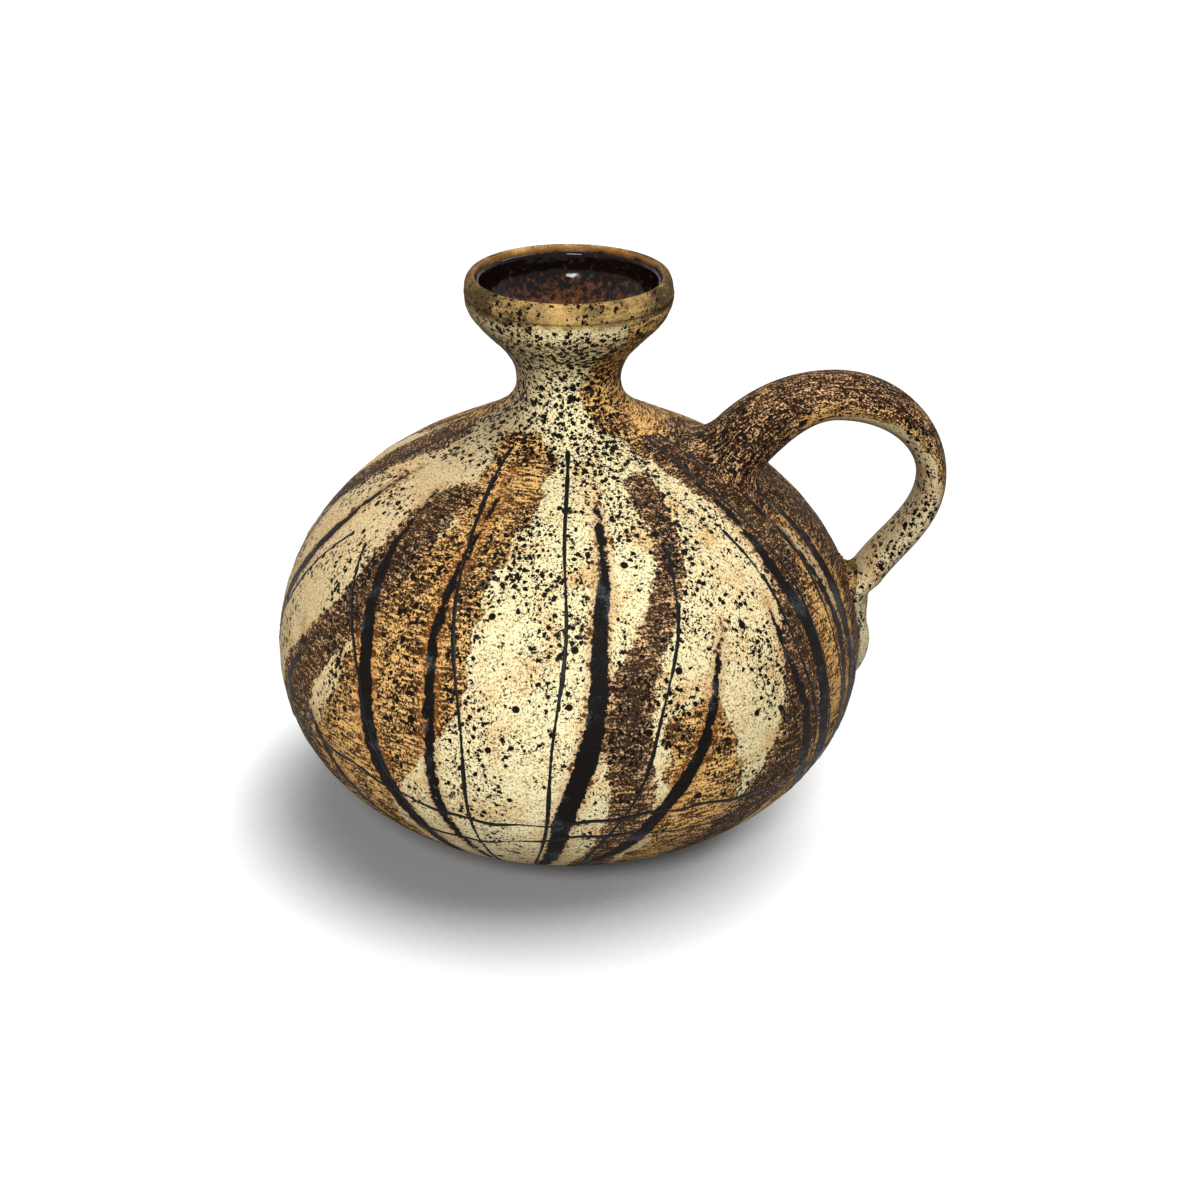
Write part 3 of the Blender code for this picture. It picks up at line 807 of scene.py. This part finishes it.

# %% [markdown]
# On the handle the brown was brushed along the outer side from the root, and ran out past the far side of the
# loop. The underside and the lower run stay cream, and a dark line of wash gathered where the thumbed tail
# meets the wall. Up to the landing the strap has a greyer olive tone, and more olive on the underside is
# painted shade. The wad was wiped with ochre, is browner towards the wall and is darkened olive all over.

# %% Store the washes on the handle
WASH_PLACES = [0, 0.10, 0.22, 0.36, 0.46, 0.56, 0.68, 1.0]
BROWN_LIMITS = [190, 98, 80, 76, 62, 34, -10, -30]
TAN_LIMITS = [200, 136, 116, 102, 76, 42, 0, -30]
METRES_PER_DEGREE = 0.00015
THICKEST_BROWN = 0.0024
LANDING_SHARES = [0.80, 0.86]
JOINT_DIRT = 0.0014
DIRT_PER_DEGREE = 0.00009
STRAP_DRAG_RADIUS = 0.015
ring_share = np.concatenate([np.zeros(FLARE_RINGS), np.linspace(0, 1, len(sections) - FLARE_RINGS)])
round_strap = np.degrees(np.abs(turned_angle))
handle_brown, handle_tan = (
    (np.interp(ring_share, WASH_PLACES, limits)[:, None] - round_strap) * METRES_PER_DEGREE
    for limits in (BROWN_LIMITS, TAN_LIMITS)
)
past_landing = np.interp(ring_share, LANDING_SHARES, [0, 1])[:, None]
joint_dirt = JOINT_DIRT - np.abs(round_strap - 90) * DIRT_PER_DEGREE
handle_brown = np.minimum(handle_brown, THICKEST_BROWN)
handle_brown = np.maximum(handle_brown, joint_dirt - 0.01 * (1 - past_landing))
underside = np.broadcast_to(np.clip((round_strap - 100) / 40, 0, 1), handle_brown.shape)
paces = np.linalg.norm(np.diff(sections.mean(1), axis=0), axis=1)
strap_length = np.concatenate([[0], np.cumsum(paces)])[:, None]
drag_radius = STRAP_DRAG_RADIUS * DRAG_STRETCH
round_drag = (np.cos(strap_angle) * drag_radius, np.sin(strap_angle) * drag_radius)
handle_layers = {
    "brown_wash": handle_brown,
    "tan_wash": handle_tan,
    # Olive: a greyer tone along the strap, with more on the underside as painted shade.
    "olive_tone_and_shade": (0.35 * underside + 0.55) * (1 - past_landing),
    "speckle": 0.50 - 0.35 * underside,
    "brushed": np.stack(np.broadcast_arrays(*round_drag, strap_length), -1),
}
for name, table in handle_layers.items():
    store(strap, name, table[strap_ring, strap_column])
for name in ("lip_wash", "lip_glaze", "black_brush"):
    store(strap, name, FAR_OUTSIDE)
store(strap, "warm_painted_shade", 0)

to_wall = np.minimum(wad_column / (HOLLOW_STEPS - 1), 1)
off_middle = np.abs(wad_turn[wad_ring])
wad_layers = {
    "brown_wash": -0.0007 + 0.0024 * to_wall**2 - 0.002 * off_middle**6,
    "tan_wash": FAR_OUTSIDE,
    "lip_wash": 0.01 - 0.012 * off_middle**4,
    # The olive darkens the whole wad.
    "olive_tone_and_shade": 1.2,
    "speckle": 0.6,
    "brushed": points_of(wad),
    "black_brush": FAR_OUTSIDE,
    "lip_glaze": FAR_OUTSIDE,
    "warm_painted_shade": 0,
}
for name, values in wad_layers.items():
    store(wad, name, values)
print("layers", sorted(wad_layers), "on handle and wad")

# %% [markdown]
# ## Trailed lines
# Thin lines of black glaze were trailed over the brushwork: stems with drops near their tips, and two slow
# lines round the belly. Trailed glaze stands a little proud, so each line is a curve with a round section,
# sunk until only a low bead shows, and then turned to a mesh. Its radius wanders as the trailer was squeezed.

# %% Trails
BEAD_SUNK = 0.88
# angle from the tuft, lean in degrees, length up the wall at the tip
STEMS = [(-10, -25, 0.166), (-9, 10, 0.168), (-8, 38, 0.134), (-16, -42, 0.124)]
ROUNDS = [
    # first and last angle, length up the wall, wave height, waves in a turn, half width
    (100, 440, 0.0640, 0.0030, 5, 0.00062),
    (101, 437, 0.0560, 0.0024, 7, 0.00045),
]


def on_skin(angle, up):
    """Points on the wall, and the outward directions there."""
    radius = np.interp(up, run_up, outside[:, 0])
    height = np.interp(up, run_up, outside[:, 1])
    turn = np.radians(angle)
    points = np.stack([radius * np.sin(turn), -radius * np.cos(turn), height], -1)
    _, normal = above_wall(points)
    return thrown(points), normal


def bead(name, angle, up, half_width):
    """A run of glaze as a mesh, from its line on the wall and its half width along it."""
    points, normal = on_skin(angle, up)
    radius = half_width / math.sqrt(1 - BEAD_SUNK**2)
    centre = points - normal * (radius * BEAD_SUNK)[:, None]
    drawn = bpy.data.curves.new(name, "CURVE")
    drawn.dimensions = "3D"
    drawn.bevel_depth = 1.0
    drawn.bevel_resolution = 4
    drawn.use_fill_caps = True
    line = drawn.splines.new("POLY")
    line.points.add(len(centre) - 1)
    places = np.column_stack([centre, np.ones(len(centre))])
    line.points.foreach_set("co", places.astype(np.float32).ravel())
    line.points.foreach_set("radius", radius.astype(np.float32))
    piece = bpy.data.objects.new(name, drawn)
    bpy.context.scene.collection.objects.link(piece)
    bpy.ops.object.select_all(action="DESELECT")
    piece.select_set(True)
    bpy.context.view_layer.objects.active = piece
    bpy.ops.object.convert(target="MESH")
    close_up(piece, math.pi, WELD)
    return piece


# %% Trail the stems and the rounds
STEM_HALF_WIDTH = 0.00050
STEM_START = 12
STEM_BOW = 4
STEM_STEPS = 240
DROP_PLACES = (0.86, 0.93, 0.985)
DROP_SWELL = 0.8
DROP_LENGTH = 0.018
ROUND_STEPS = 620
END_DEGREES = 1.2
SLOW_SWAY = 0.0020
TREMBLE = 0.0004
trails = []
fine_t = np.linspace(0, 1, STEM_STEPS)
drops = sum(DROP_SWELL * np.exp(-(((fine_t - place) / DROP_LENGTH) ** 2)) for place in DROP_PLACES)
for foot, turn in TUFTS:
    for which, (start, lean, tip) in enumerate(STEMS):
        stem_foot = foot + (start + STEM_START) * turn
        line_angle, line_up, t = blade_line(stem_foot, lean * turn, tip, STEM_BOW * turn)
        wander = 1 + 0.25 * np.sin(23 * t + which) + 0.15 * np.sin(57 * t + 2 * which)
        half = np.interp(fine_t, t, STEM_HALF_WIDTH * wander) * (1 + drops)
        angle, up = np.interp(fine_t, t, line_angle), np.interp(fine_t, t, line_up)
        trails.append(bead(f"trailed_stem_{len(trails) + 1}", angle, up, half))
for which, (first, last, height, wave, waves, half) in enumerate(ROUNDS):
    angle = np.linspace(first, last, ROUND_STEPS)
    turn = np.radians(angle)
    up = height + wave * np.sin(waves * turn + which) + SLOW_SWAY * np.sin(2.6 * turn + 2 * which)
    up = up + TREMBLE * np.sin(31 * turn + which)
    wander = 1 + 0.26 * np.sin(13 * turn + which) + 0.18 * np.sin(29.3 * turn + 2.0 * which)
    ends = sum(np.exp(-(((angle - end) / END_DEGREES) ** 2)) for end in (first, last))
    trails.append(bead(f"trailed_round_{which + 1}", angle, up, half * wander * (1 + ends)))
print("trails", len(trails), "faces", sum(len(trail.data.polygons) for trail in trails))

# %% [markdown]
# ## Colours
# Colours are written as sRGB hex values, as one would pick them from a swatch, and turned to the linear
# values that the shader works in. One small function adds a node with its settings, links and fills its
# sockets, and hands back the output that the next node wants. Sockets 0 to 4 of a MapRange are its value, the
# range that is read and the range that is given. A colour Mix has its share at 0, its two colours at 6 and 7
# and its result at output 2.

# %% Colour and node helpers
TINTED = {"out": 2, "data_type": "RGBA"}


def colour(code):
    parts = [int(code[k : k + 2], 16) / 255 for k in (1, 3, 5)]
    return tuple(p / 12.92 if p <= 0.04045 else ((p + 0.055) / 1.055) ** 2.4 for p in parts) + (1.0,)


def add(tree, kind, inputs, out=0, **settings):
    made = tree.nodes.new("ShaderNode" + kind)
    for name, value in settings.items():
        setattr(made, name, value)
    for socket, value in inputs.items():
        if isinstance(value, bpy.types.NodeSocket):
            tree.links.new(value, made.inputs[socket])
        else:
            made.inputs[socket].default_value = value
    return made.outputs[out]


def new_material(name):
    made = bpy.data.materials.new(name)
    made.use_nodes = True
    return made, made.node_tree.nodes["Principled BSDF"], partial(add, made.node_tree)


# %% [markdown]
# ## Speckled stoneware
# The clay is covered with a dry, matte cream slip. It is yellower where it lies thick and paler where it is
# thin. It is stained amber in clouds and combed by the brush. Painted shade darkens it olive on the neck's
# sides and beige at the body's sides and low belly. A fine dust of iron shows all over it.

# %% Cream slip
GRAIN_SIZE = 0.00055
STREAK_SIZE = 0.0030
THICKNESS_SIZE = 0.030
STAIN_SIZE = 0.011
stoneware, clay, coat = new_material("speckled cream slip on stoneware")
spot = coat("TexCoord", {}, out="Object")
drag_spot = coat("Attribute", {}, out="Vector", attribute_name="brushed")
grain = coat("TexNoise", {"Vector": spot, "Scale": 1 / GRAIN_SIZE, "Detail": 1.5, "Roughness": 0.7})
streaks = coat("TexNoise", {"Vector": drag_spot, "Scale": 1 / STREAK_SIZE, "Detail": 3.0, "Roughness": 0.65})
thickness = coat("TexNoise", {"Vector": spot, "Scale": 1 / THICKNESS_SIZE, "Detail": 2.0})
stain = coat("TexNoise", {"Vector": spot, "Scale": 1 / STAIN_SIZE, "Detail": 4.0})

thin = coat("MapRange", {0: thickness, 1: 0.38, 2: 0.62})
skin = coat("Mix", {0: thin, 6: colour("#FAEDBC"), 7: colour("#F2E4B2")}, **TINTED)
stained = coat("Math", {0: grain, 1: 0.35, 2: stain}, operation="MULTIPLY_ADD")
stained = coat("MapRange", {0: stained, 1: 0.68, 2: 0.86, 3: 0.0, 4: 0.62})
dusty = coat("MapRange", {0: grain, 1: 0.53, 2: 0.62, 3: 0.0, 4: 0.80})
combed = coat("MapRange", {0: streaks, 1: 0.52, 2: 0.70, 3: 0.0, 4: 0.45})
# Olive and beige tint the slip as painted shade at the form's sides and low belly; on the handle olive is
# also a greyer tone.
olive_tone_and_shade = coat("Attribute", {}, out="Fac", attribute_name="olive_tone_and_shade")
olive_and_shade_share = coat("Math", {0: olive_tone_and_shade, 1: 0.75}, operation="MULTIPLY")
warm_painted_shade = coat("Attribute", {}, out="Fac", attribute_name="warm_painted_shade")
beige_shade_share = coat("Math", {0: warm_painted_shade, 1: 0.42}, operation="MULTIPLY")
tints = [(stained, "#DBA355"), (dusty, "#6A5232"), (combed, "#B38E55")]
tints += [(olive_and_shade_share, "#957B5E"), (beige_shade_share, "#D8AE7C")]
for share, tint in tints:
    skin = coat("Mix", {0: share, 6: skin, 7: colour(tint)}, **TINTED)
print("slip nodes", len(stoneware.node_tree.nodes))

# %% [markdown]
# The lip carries an ochre wash of its own down to the incised line, darker in blotches where it ran thick and
# on its sides as painted shade, and iron gathered along its lower edge. The wad in the crook was wiped with
# the same ochre.

# %% Lip wash
BLOTCH_SIZE = 0.0050


def torn_edge(layer, noises, inset):
    """How far a point lies inside a wash, with noise to tear the edge."""
    depth = coat("Attribute", {}, out="Fac", attribute_name=layer)
    for noise, reach in noises:
        depth = coat("Math", {0: noise, 1: reach, 2: depth}, operation="MULTIPLY_ADD")
    return coat("Math", {0: depth, 1: inset}, operation="SUBTRACT")


blotch = coat("TexNoise", {"Vector": spot, "Scale": 1 / BLOTCH_SIZE, "Detail": 4.0, "Roughness": 0.6})
lip = torn_edge("lip_wash", [(blotch, 0.0030)], 0.0022)
lip_share = coat("MapRange", {0: lip, 1: -0.0016, 2: 0.0002, 3: 0.0, 4: 0.92})
# The olive painted shade at the sides also darkens the ochre, together with blotches, streaks, grain and
# stain.
darker_share = coat("Math", {0: olive_tone_and_shade, 1: 0.30, 2: blotch}, operation="MULTIPLY_ADD")
for noise, weight in ((streaks, 0.8), (grain, 0.9), (stain, 1.2)):
    darker_share = coat("Math", {0: noise, 1: weight, 2: darker_share}, operation="MULTIPLY_ADD")
darker_share = coat("MapRange", {0: darker_share, 1: 1.52, 2: 2.25})
ochre = coat("Mix", {0: darker_share, 6: colour("#D2A862"), 7: colour("#453418")}, **TINTED)
line = coat("Math", {0: lip}, operation="ABSOLUTE")
line = coat("MapRange", {0: line, 1: 0.0002, 2: 0.0007, 3: 0.75, 4: 0.0})
line = coat("Math", {0: line, 1: blotch}, operation="MULTIPLY")
for share, tint in ((lip_share, ochre), (line, colour("#2A1A0C"))):
    skin = coat("Mix", {0: share, 6: skin, 7: tint}, **TINTED)
print("with lip wash", len(stoneware.node_tree.nodes))

# %% [markdown]
# Tan wash was brushed on thin. It lies as amber with dark grains that gather in streaks along the drag of the
# brush, and it dried with a thin dark line round its edge.

# %% Tan wash
LOBE_SIZE = 0.0070
lobes = coat("TexNoise", {"Vector": spot, "Scale": 1 / LOBE_SIZE, "Detail": 4.0})
tan = torn_edge("tan_wash", [(lobes, 0.0100), (grain, 0.0012)], 0.0056)
tan_share = coat("MapRange", {0: tan, 1: -0.0002, 2: 0.0002, 3: 0.0, 4: 0.96})
dark = coat("Math", {0: streaks, 1: 1.2, 2: grain}, operation="MULTIPLY_ADD")
dark = coat("Math", {0: lobes, 1: 0.45, 2: dark}, operation="MULTIPLY_ADD")
dark = coat("MapRange", {0: dark, 1: 1.22, 2: 1.38})
amber = coat("Mix", {0: dark, 6: colour("#EEBC72"), 7: colour("#3C1B08")}, **TINTED)
rim = coat("Math", {0: tan}, operation="ABSOLUTE")
rim = coat("MapRange", {0: rim, 1: 0.00005, 2: 0.0004, 3: 0.55, 4: 0.0})
for share, tint in ((tan_share, amber), (rim, colour("#4C3219"))):
    skin = coat("Mix", {0: share, 6: skin, 7: tint}, **TINTED)
print("with tan wash", len(stoneware.node_tree.nodes))

# %% [markdown]
# Brown wash is thick with iron. Close up it is mostly dark grains, with amber showing through between them.
# It is darker away from its edges, and the edges are torn.

# %% Brown wash
TEAR_SIZE = 0.0030
tears = coat("TexNoise", {"Vector": spot, "Scale": 1 / TEAR_SIZE, "Detail": 4.0, "Roughness": 0.65})
brown = torn_edge("brown_wash", [(tears, 0.0070)], 0.0035)
brown_share = coat("MapRange", {0: brown, 1: -0.0002, 2: 0.0002, 3: 0.0, 4: 0.97})
dark = coat("MapRange", {0: brown, 1: 0.0, 2: 0.0045, 3: -0.04, 4: 0.05})
for noise, weight in ((streaks, 0.9), (grain, 1.0), (blotch, 0.30)):
    dark = coat("Math", {0: noise, 1: weight, 2: dark}, operation="MULTIPLY_ADD")
dark = coat("MapRange", {0: dark, 1: 0.87, 2: 1.10})
iron = coat("Mix", {0: dark, 6: colour("#F0C08A"), 7: colour("#281308")}, **TINTED)
skin = coat("Mix", {0: brown_share, 6: skin, 7: iron}, **TINTED)
print("with brown wash", len(stoneware.node_tree.nodes))

# %% [markdown]
# Iron specks melted through everything. Two layers of them, near a millimetre across and half that, are dots
# of uneven size on bent coordinates, so that they come out as ragged blots. A few round drops are larger.
# They crowd in patches and leave others nearly clean.

# %% Iron specks
PATCH_SIZE = 0.016
WARP_SIZE = 0.0008
WARP_REACH = 0.0014
DROP_SPACING = 0.0080
SPECK_LAYERS = [(0.00155, 0.65, 0.46), (0.00085, 0.64, 0.42)]  # spacing, how sparse, largest share of it
patches = coat("TexNoise", {"Vector": spot, "Scale": 1 / PATCH_SIZE, "Detail": 2.0})
patches = coat("MapRange", {0: patches, 1: 0.36, 2: 0.64, 3: -0.10, 4: 1.05})
crowd = coat("Attribute", {}, out="Fac", attribute_name="speckle")
crowd = coat("Math", {0: patches, 1: crowd}, operation="ADD")
warp = coat("TexNoise", {"Vector": spot, "Scale": 1 / WARP_SIZE, "Detail": 1.0}, out="Color")
ragged = coat("VectorMath", {0: warp, 1: (WARP_REACH,) * 3, 2: spot}, operation="MULTIPLY_ADD")
speck = coat("TexVoronoi", {"Vector": spot, "Scale": 1 / DROP_SPACING})
for noise, reach in ((blotch, 0.10), (lip_share, 0.30)):
    speck = coat("Math", {0: noise, 1: reach, 2: speck}, operation="MULTIPLY_ADD")
speck = coat("MapRange", {0: speck, 1: 0.165, 2: 0.185, 3: 1.0, 4: 0.0})
for spacing, sparse, largest in SPECK_LAYERS:
    chance = coat("TexVoronoi", {"Vector": ragged, "Scale": 1 / spacing}, out="Color")
    size = coat("Math", {0: crowd, 1: 0.55, 2: chance}, operation="MULTIPLY_ADD")
    size = coat("MapRange", {0: size, 1: sparse - 0.05, 2: sparse + 0.65, 3: -0.08, 4: largest})
    away = coat("TexVoronoi", {"Vector": ragged, "Scale": 1 / spacing}, out="Distance")
    away = coat("Math", {0: away, 1: size}, operation="SUBTRACT")
    dot = coat("MapRange", {0: away, 1: -0.05, 2: 0.03, 3: 1.0, 4: 0.0})
    speck = coat("Math", {0: dot, 1: speck}, operation="MAXIMUM")
skin = coat("Mix", {0: speck, 6: skin, 7: colour("#070402")}, **TINTED)
print("with specks", len(stoneware.node_tree.nodes))

# %% [markdown]
# The black strokes are a thick iron slip. It is granular and bluish grey where the brush ran dry, its edges
# are ragged, and it bled a rusty halo into the slip beside it. The halo hardly shows on the brown.

# %% Brushed black
black = torn_edge("black_brush", [(tears, 0.0026), (grain, 0.0012)], 0.0019)
black_share = coat("MapRange", {0: black, 1: -0.00012, 2: 0.00018})
halo = coat("MapRange", {0: black, 1: -0.0022, 2: 0.0, 3: 0.0, 4: 0.42})
bare = coat("MapRange", {0: brown_share, 3: 1.0, 4: 0.15})
halo = coat("Math", {0: halo, 1: bare}, operation="MULTIPLY")
dry = coat("MapRange", {0: stain, 1: 0.40, 2: 0.62})
dry = coat("Math", {0: dry, 1: grain}, operation="MULTIPLY")
dry = coat("MapRange", {0: dry, 1: 0.34, 2: 0.70})
iron = coat("Mix", {0: dry, 6: colour("#0B0806"), 7: colour("#4A4E52")}, **TINTED)
for share, tint in ((halo, colour("#A15F21")), (black_share, iron)):
    skin = coat("Mix", {0: share, 6: skin, 7: tint}, **TINTED)
print("with brushwork", len(stoneware.node_tree.nodes))

# %% [markdown]
# The glaze of the lining ran up over the inner side of the lip. It thins there from brown-black to amber.

# %% Glaze over the lip
ran = torn_edge("lip_glaze", [(blotch, 0.0016)], 0.0008)
glazed = coat("MapRange", {0: ran, 1: -0.0005, 2: 0.0001})
darker_share = coat("MapRange", {0: ran, 1: -0.0001, 2: 0.0007})
for share, tint in ((glazed, "#94632F"), (darker_share, "#120A07")):
    skin = coat("Mix", {0: share, 6: skin, 7: colour(tint)}, **TINTED)
stoneware.node_tree.links.new(skin, clay.inputs["Base Color"])
print("stoneware nodes", len(stoneware.node_tree.nodes))

# %% [markdown]
# The slip is dry to the touch. Specks and black are a little smoother, and glaze on the lip is glossy. The
# drag of the brush, the grains and the black's own body give the skin its relief.

# %% Dryness and relief
DRY_ROUGHNESS = 0.82
RELIEF_DEPTH = 0.0003
rough = coat("Math", {0: speck, 1: -0.22, 2: DRY_ROUGHNESS}, operation="MULTIPLY_ADD")
rough = coat("Math", {0: black_share, 1: -0.24, 2: rough}, operation="MULTIPLY_ADD")
rough = coat("Math", {0: glazed, 1: -0.62, 2: rough}, operation="MULTIPLY_ADD")
stoneware.node_tree.links.new(rough, clay.inputs["Roughness"])
relief = coat("Math", {0: streaks, 1: 2.0, 2: grain}, operation="MULTIPLY_ADD")
relief = coat("Math", {0: black_share, 1: 0.8, 2: relief}, operation="MULTIPLY_ADD")
bump = coat("Bump", {"Height": relief, "Strength": 0.45, "Distance": RELIEF_DEPTH})
stoneware.node_tree.links.new(bump, clay.inputs["Normal"])
clay.inputs["IOR"].default_value = 1.5
clay.inputs["Specular IOR Level"].default_value = 0.07
print("roughness from", DRY_ROUGHNESS, "relief", RELIEF_DEPTH * 1000, "mm")

# %% [markdown]
# ## Black and lining glazes
# Trailed black is a thick satin glaze. The lining is an iron glaze, smooth as glass with a slow ripple left
# by the melt. It is nearly black on the cup's wall, and breaks to rust deeper down.

# %% Trailed black
black_glaze, satin, _ = new_material("black trailed glaze")
satin.inputs["Base Color"].default_value = colour("#070504")
satin.inputs["Roughness"].default_value = 0.50
satin.inputs["Specular IOR Level"].default_value = 0.14

# %% Lining glaze
RUST_SIZE = 0.0016
RIPPLE_SIZE = 0.0060
RIPPLE_DEPTH = 0.0012
RUST_BELOW = CUP_TOP - 0.0075
iron_glaze, glass, coat = new_material("iron brown lining glaze")
spot = coat("TexCoord", {}, out="Object")
height = coat("SeparateXYZ", {0: spot}, out="Z")
cloud = coat("TexNoise", {"Vector": spot, "Scale": 1 / RUST_SIZE, "Detail": 4.0, "Roughness": 0.65})
sink = coat("MapRange", {0: height, 1: CUP_TOP, 2: RUST_BELOW, 3: -0.16, 4: 0.06})
cloud = coat("Math", {0: cloud, 1: sink}, operation="ADD")
rusty = coat("MapRange", {0: cloud, 1: 0.45, 2: 0.86})
melt = coat("Mix", {0: rusty, 6: colour("#100907"), 7: colour("#86502A")}, **TINTED)
iron_glaze.node_tree.links.new(melt, glass.inputs["Base Color"])
ripple = coat("TexNoise", {"Vector": spot, "Scale": 1 / RIPPLE_SIZE, "Detail": 2.0})
bump = coat("Bump", {"Height": ripple, "Strength": 0.60, "Distance": RIPPLE_DEPTH})
iron_glaze.node_tree.links.new(bump, glass.inputs["Normal"])
glass.inputs["Roughness"].default_value = 0.13
glass.inputs["Specular IOR Level"].default_value = 0.12
glass.inputs["IOR"].default_value = 1.52
print("glazes", black_glaze.name, "and", iron_glaze.name)

# %% [markdown]
# ## Dress the frame
# Every piece gets its finish, rides on the pot's one body, and stands for the solids that it replaces.

# %% Dress the frame
pot = [
    (body_shell, stoneware, "stoneware_body", ["body"]),
    (neck_shell, stoneware, "stoneware_neck", ["neck", "neck_luting_coil"]),
    (strap, stoneware, "stoneware_handle", ["handle", "handle_root_coil"]),
    (wad, stoneware, "stoneware_coils", ["handle_crook_wad"]),
    (liner, iron_glaze, "liner_glaze", ["liner_glaze"]),
]
for piece, surface, slot, nodes in pot:
    piece.data.materials.append(surface)
    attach(piece, "root")
    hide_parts(*nodes)
for trail in trails:
    trail.data.materials.append(black_glaze)
    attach(trail, "root")
print("pieces dressed", len(pot) + len(trails))

# %% [markdown]
# ## Floor and light
# The ground is plain white and keeps only the vase's soft shadow. Most of its white is light of its own,
# which only shows to the eye and in reflections. That light is dimmed where the pot closes off the sky
# towards the right and the back, so the shadow is deep under the belly and runs out softly to the front
# and the left.

# %% Floor
FLOOR_GLOW = 0.86
CLOSED_IN = 0.044
OPEN_SKY = (0.52, 0.05, 0.85)


def seen_rays(coat):
    """One where a surface is seen straight, in a reflection or through glass."""
    seen = coat("LightPath", {}, out="Is Camera Ray")
    for ray in ("Is Glossy Ray", "Is Transmission Ray"):
        also = coat("LightPath", {}, out=ray)
        seen = coat("Math", {0: seen, 1: also}, operation="MAXIMUM")
    return seen


bpy.ops.object.select_all(action="DESELECT")
bpy.ops.mesh.primitive_plane_add(size=40, location=(0, 0, 0))
floor = bpy.context.object
floor.name = "studio_floor"
floor_paint, matte, coat = new_material("white studio floor")
matte.inputs["Base Color"].default_value = colour("#868686")
matte.inputs["Roughness"].default_value = 0.9
matte.inputs["Specular IOR Level"].default_value = 0.0
sky = coat("CombineXYZ", dict(enumerate(OPEN_SKY)))
closed = coat("AmbientOcclusion", {"Distance": CLOSED_IN, "Normal": sky}, out="AO", samples=16)
closed = coat("MapRange", {0: closed, 1: 0.38, 2: 0.81, 3: 0.04, 4: 1.0})
glow = coat("Math", {0: seen_rays(coat), 1: FLOOR_GLOW}, operation="MULTIPLY")
glow = coat("Math", {0: glow, 1: closed}, operation="MULTIPLY")
floor_paint.node_tree.links.new(glow, matte.inputs["Emission Strength"])
matte.inputs["Emission Color"].default_value = (1, 1, 1, 1)
floor.data.materials.append(floor_paint)

# %% [markdown]
# A broad soft light stands just above the camera, a little to the left, so that the front is bright and the
# form darkens towards its edges. A second one high behind on the right throws the shadow forwards to the
# left. Both are far off, so that the ground is lit evenly. The surround is white where it is seen, and as a
# light only a weak fill.

# %% Lights
SKY_FILL = 0.09


def far_light(name, azimuth, elevation, spread, strength):
    """A distant light. Azimuth 0 is the camera's side, and positive goes to the right."""
    bpy.ops.object.light_add(type="SUN", location=(0, 0, 1))
    lamp = bpy.context.object
    lamp.name = name
    lamp.data.angle = math.radians(spread)
    lamp.data.energy = strength
    lamp.rotation_euler = (math.radians(90 - elevation), 0, math.radians(azimuth))


far_light("front_light", azimuth=-8, elevation=38, spread=14, strength=3.5)
far_light("shadow_light", azimuth=140, elevation=58, spread=22, strength=1.3)
world = bpy.data.worlds.new("studio")
world.use_nodes = True
surround = world.node_tree.nodes["Background"]
surround.inputs["Color"].default_value = (1, 1, 1, 1)
coat = partial(add, world.node_tree)
strength = coat("MapRange", {0: seen_rays(coat), 3: SKY_FILL, 4: 1.0})
world.node_tree.links.new(strength, surround.inputs["Strength"])
bpy.context.scene.world = world
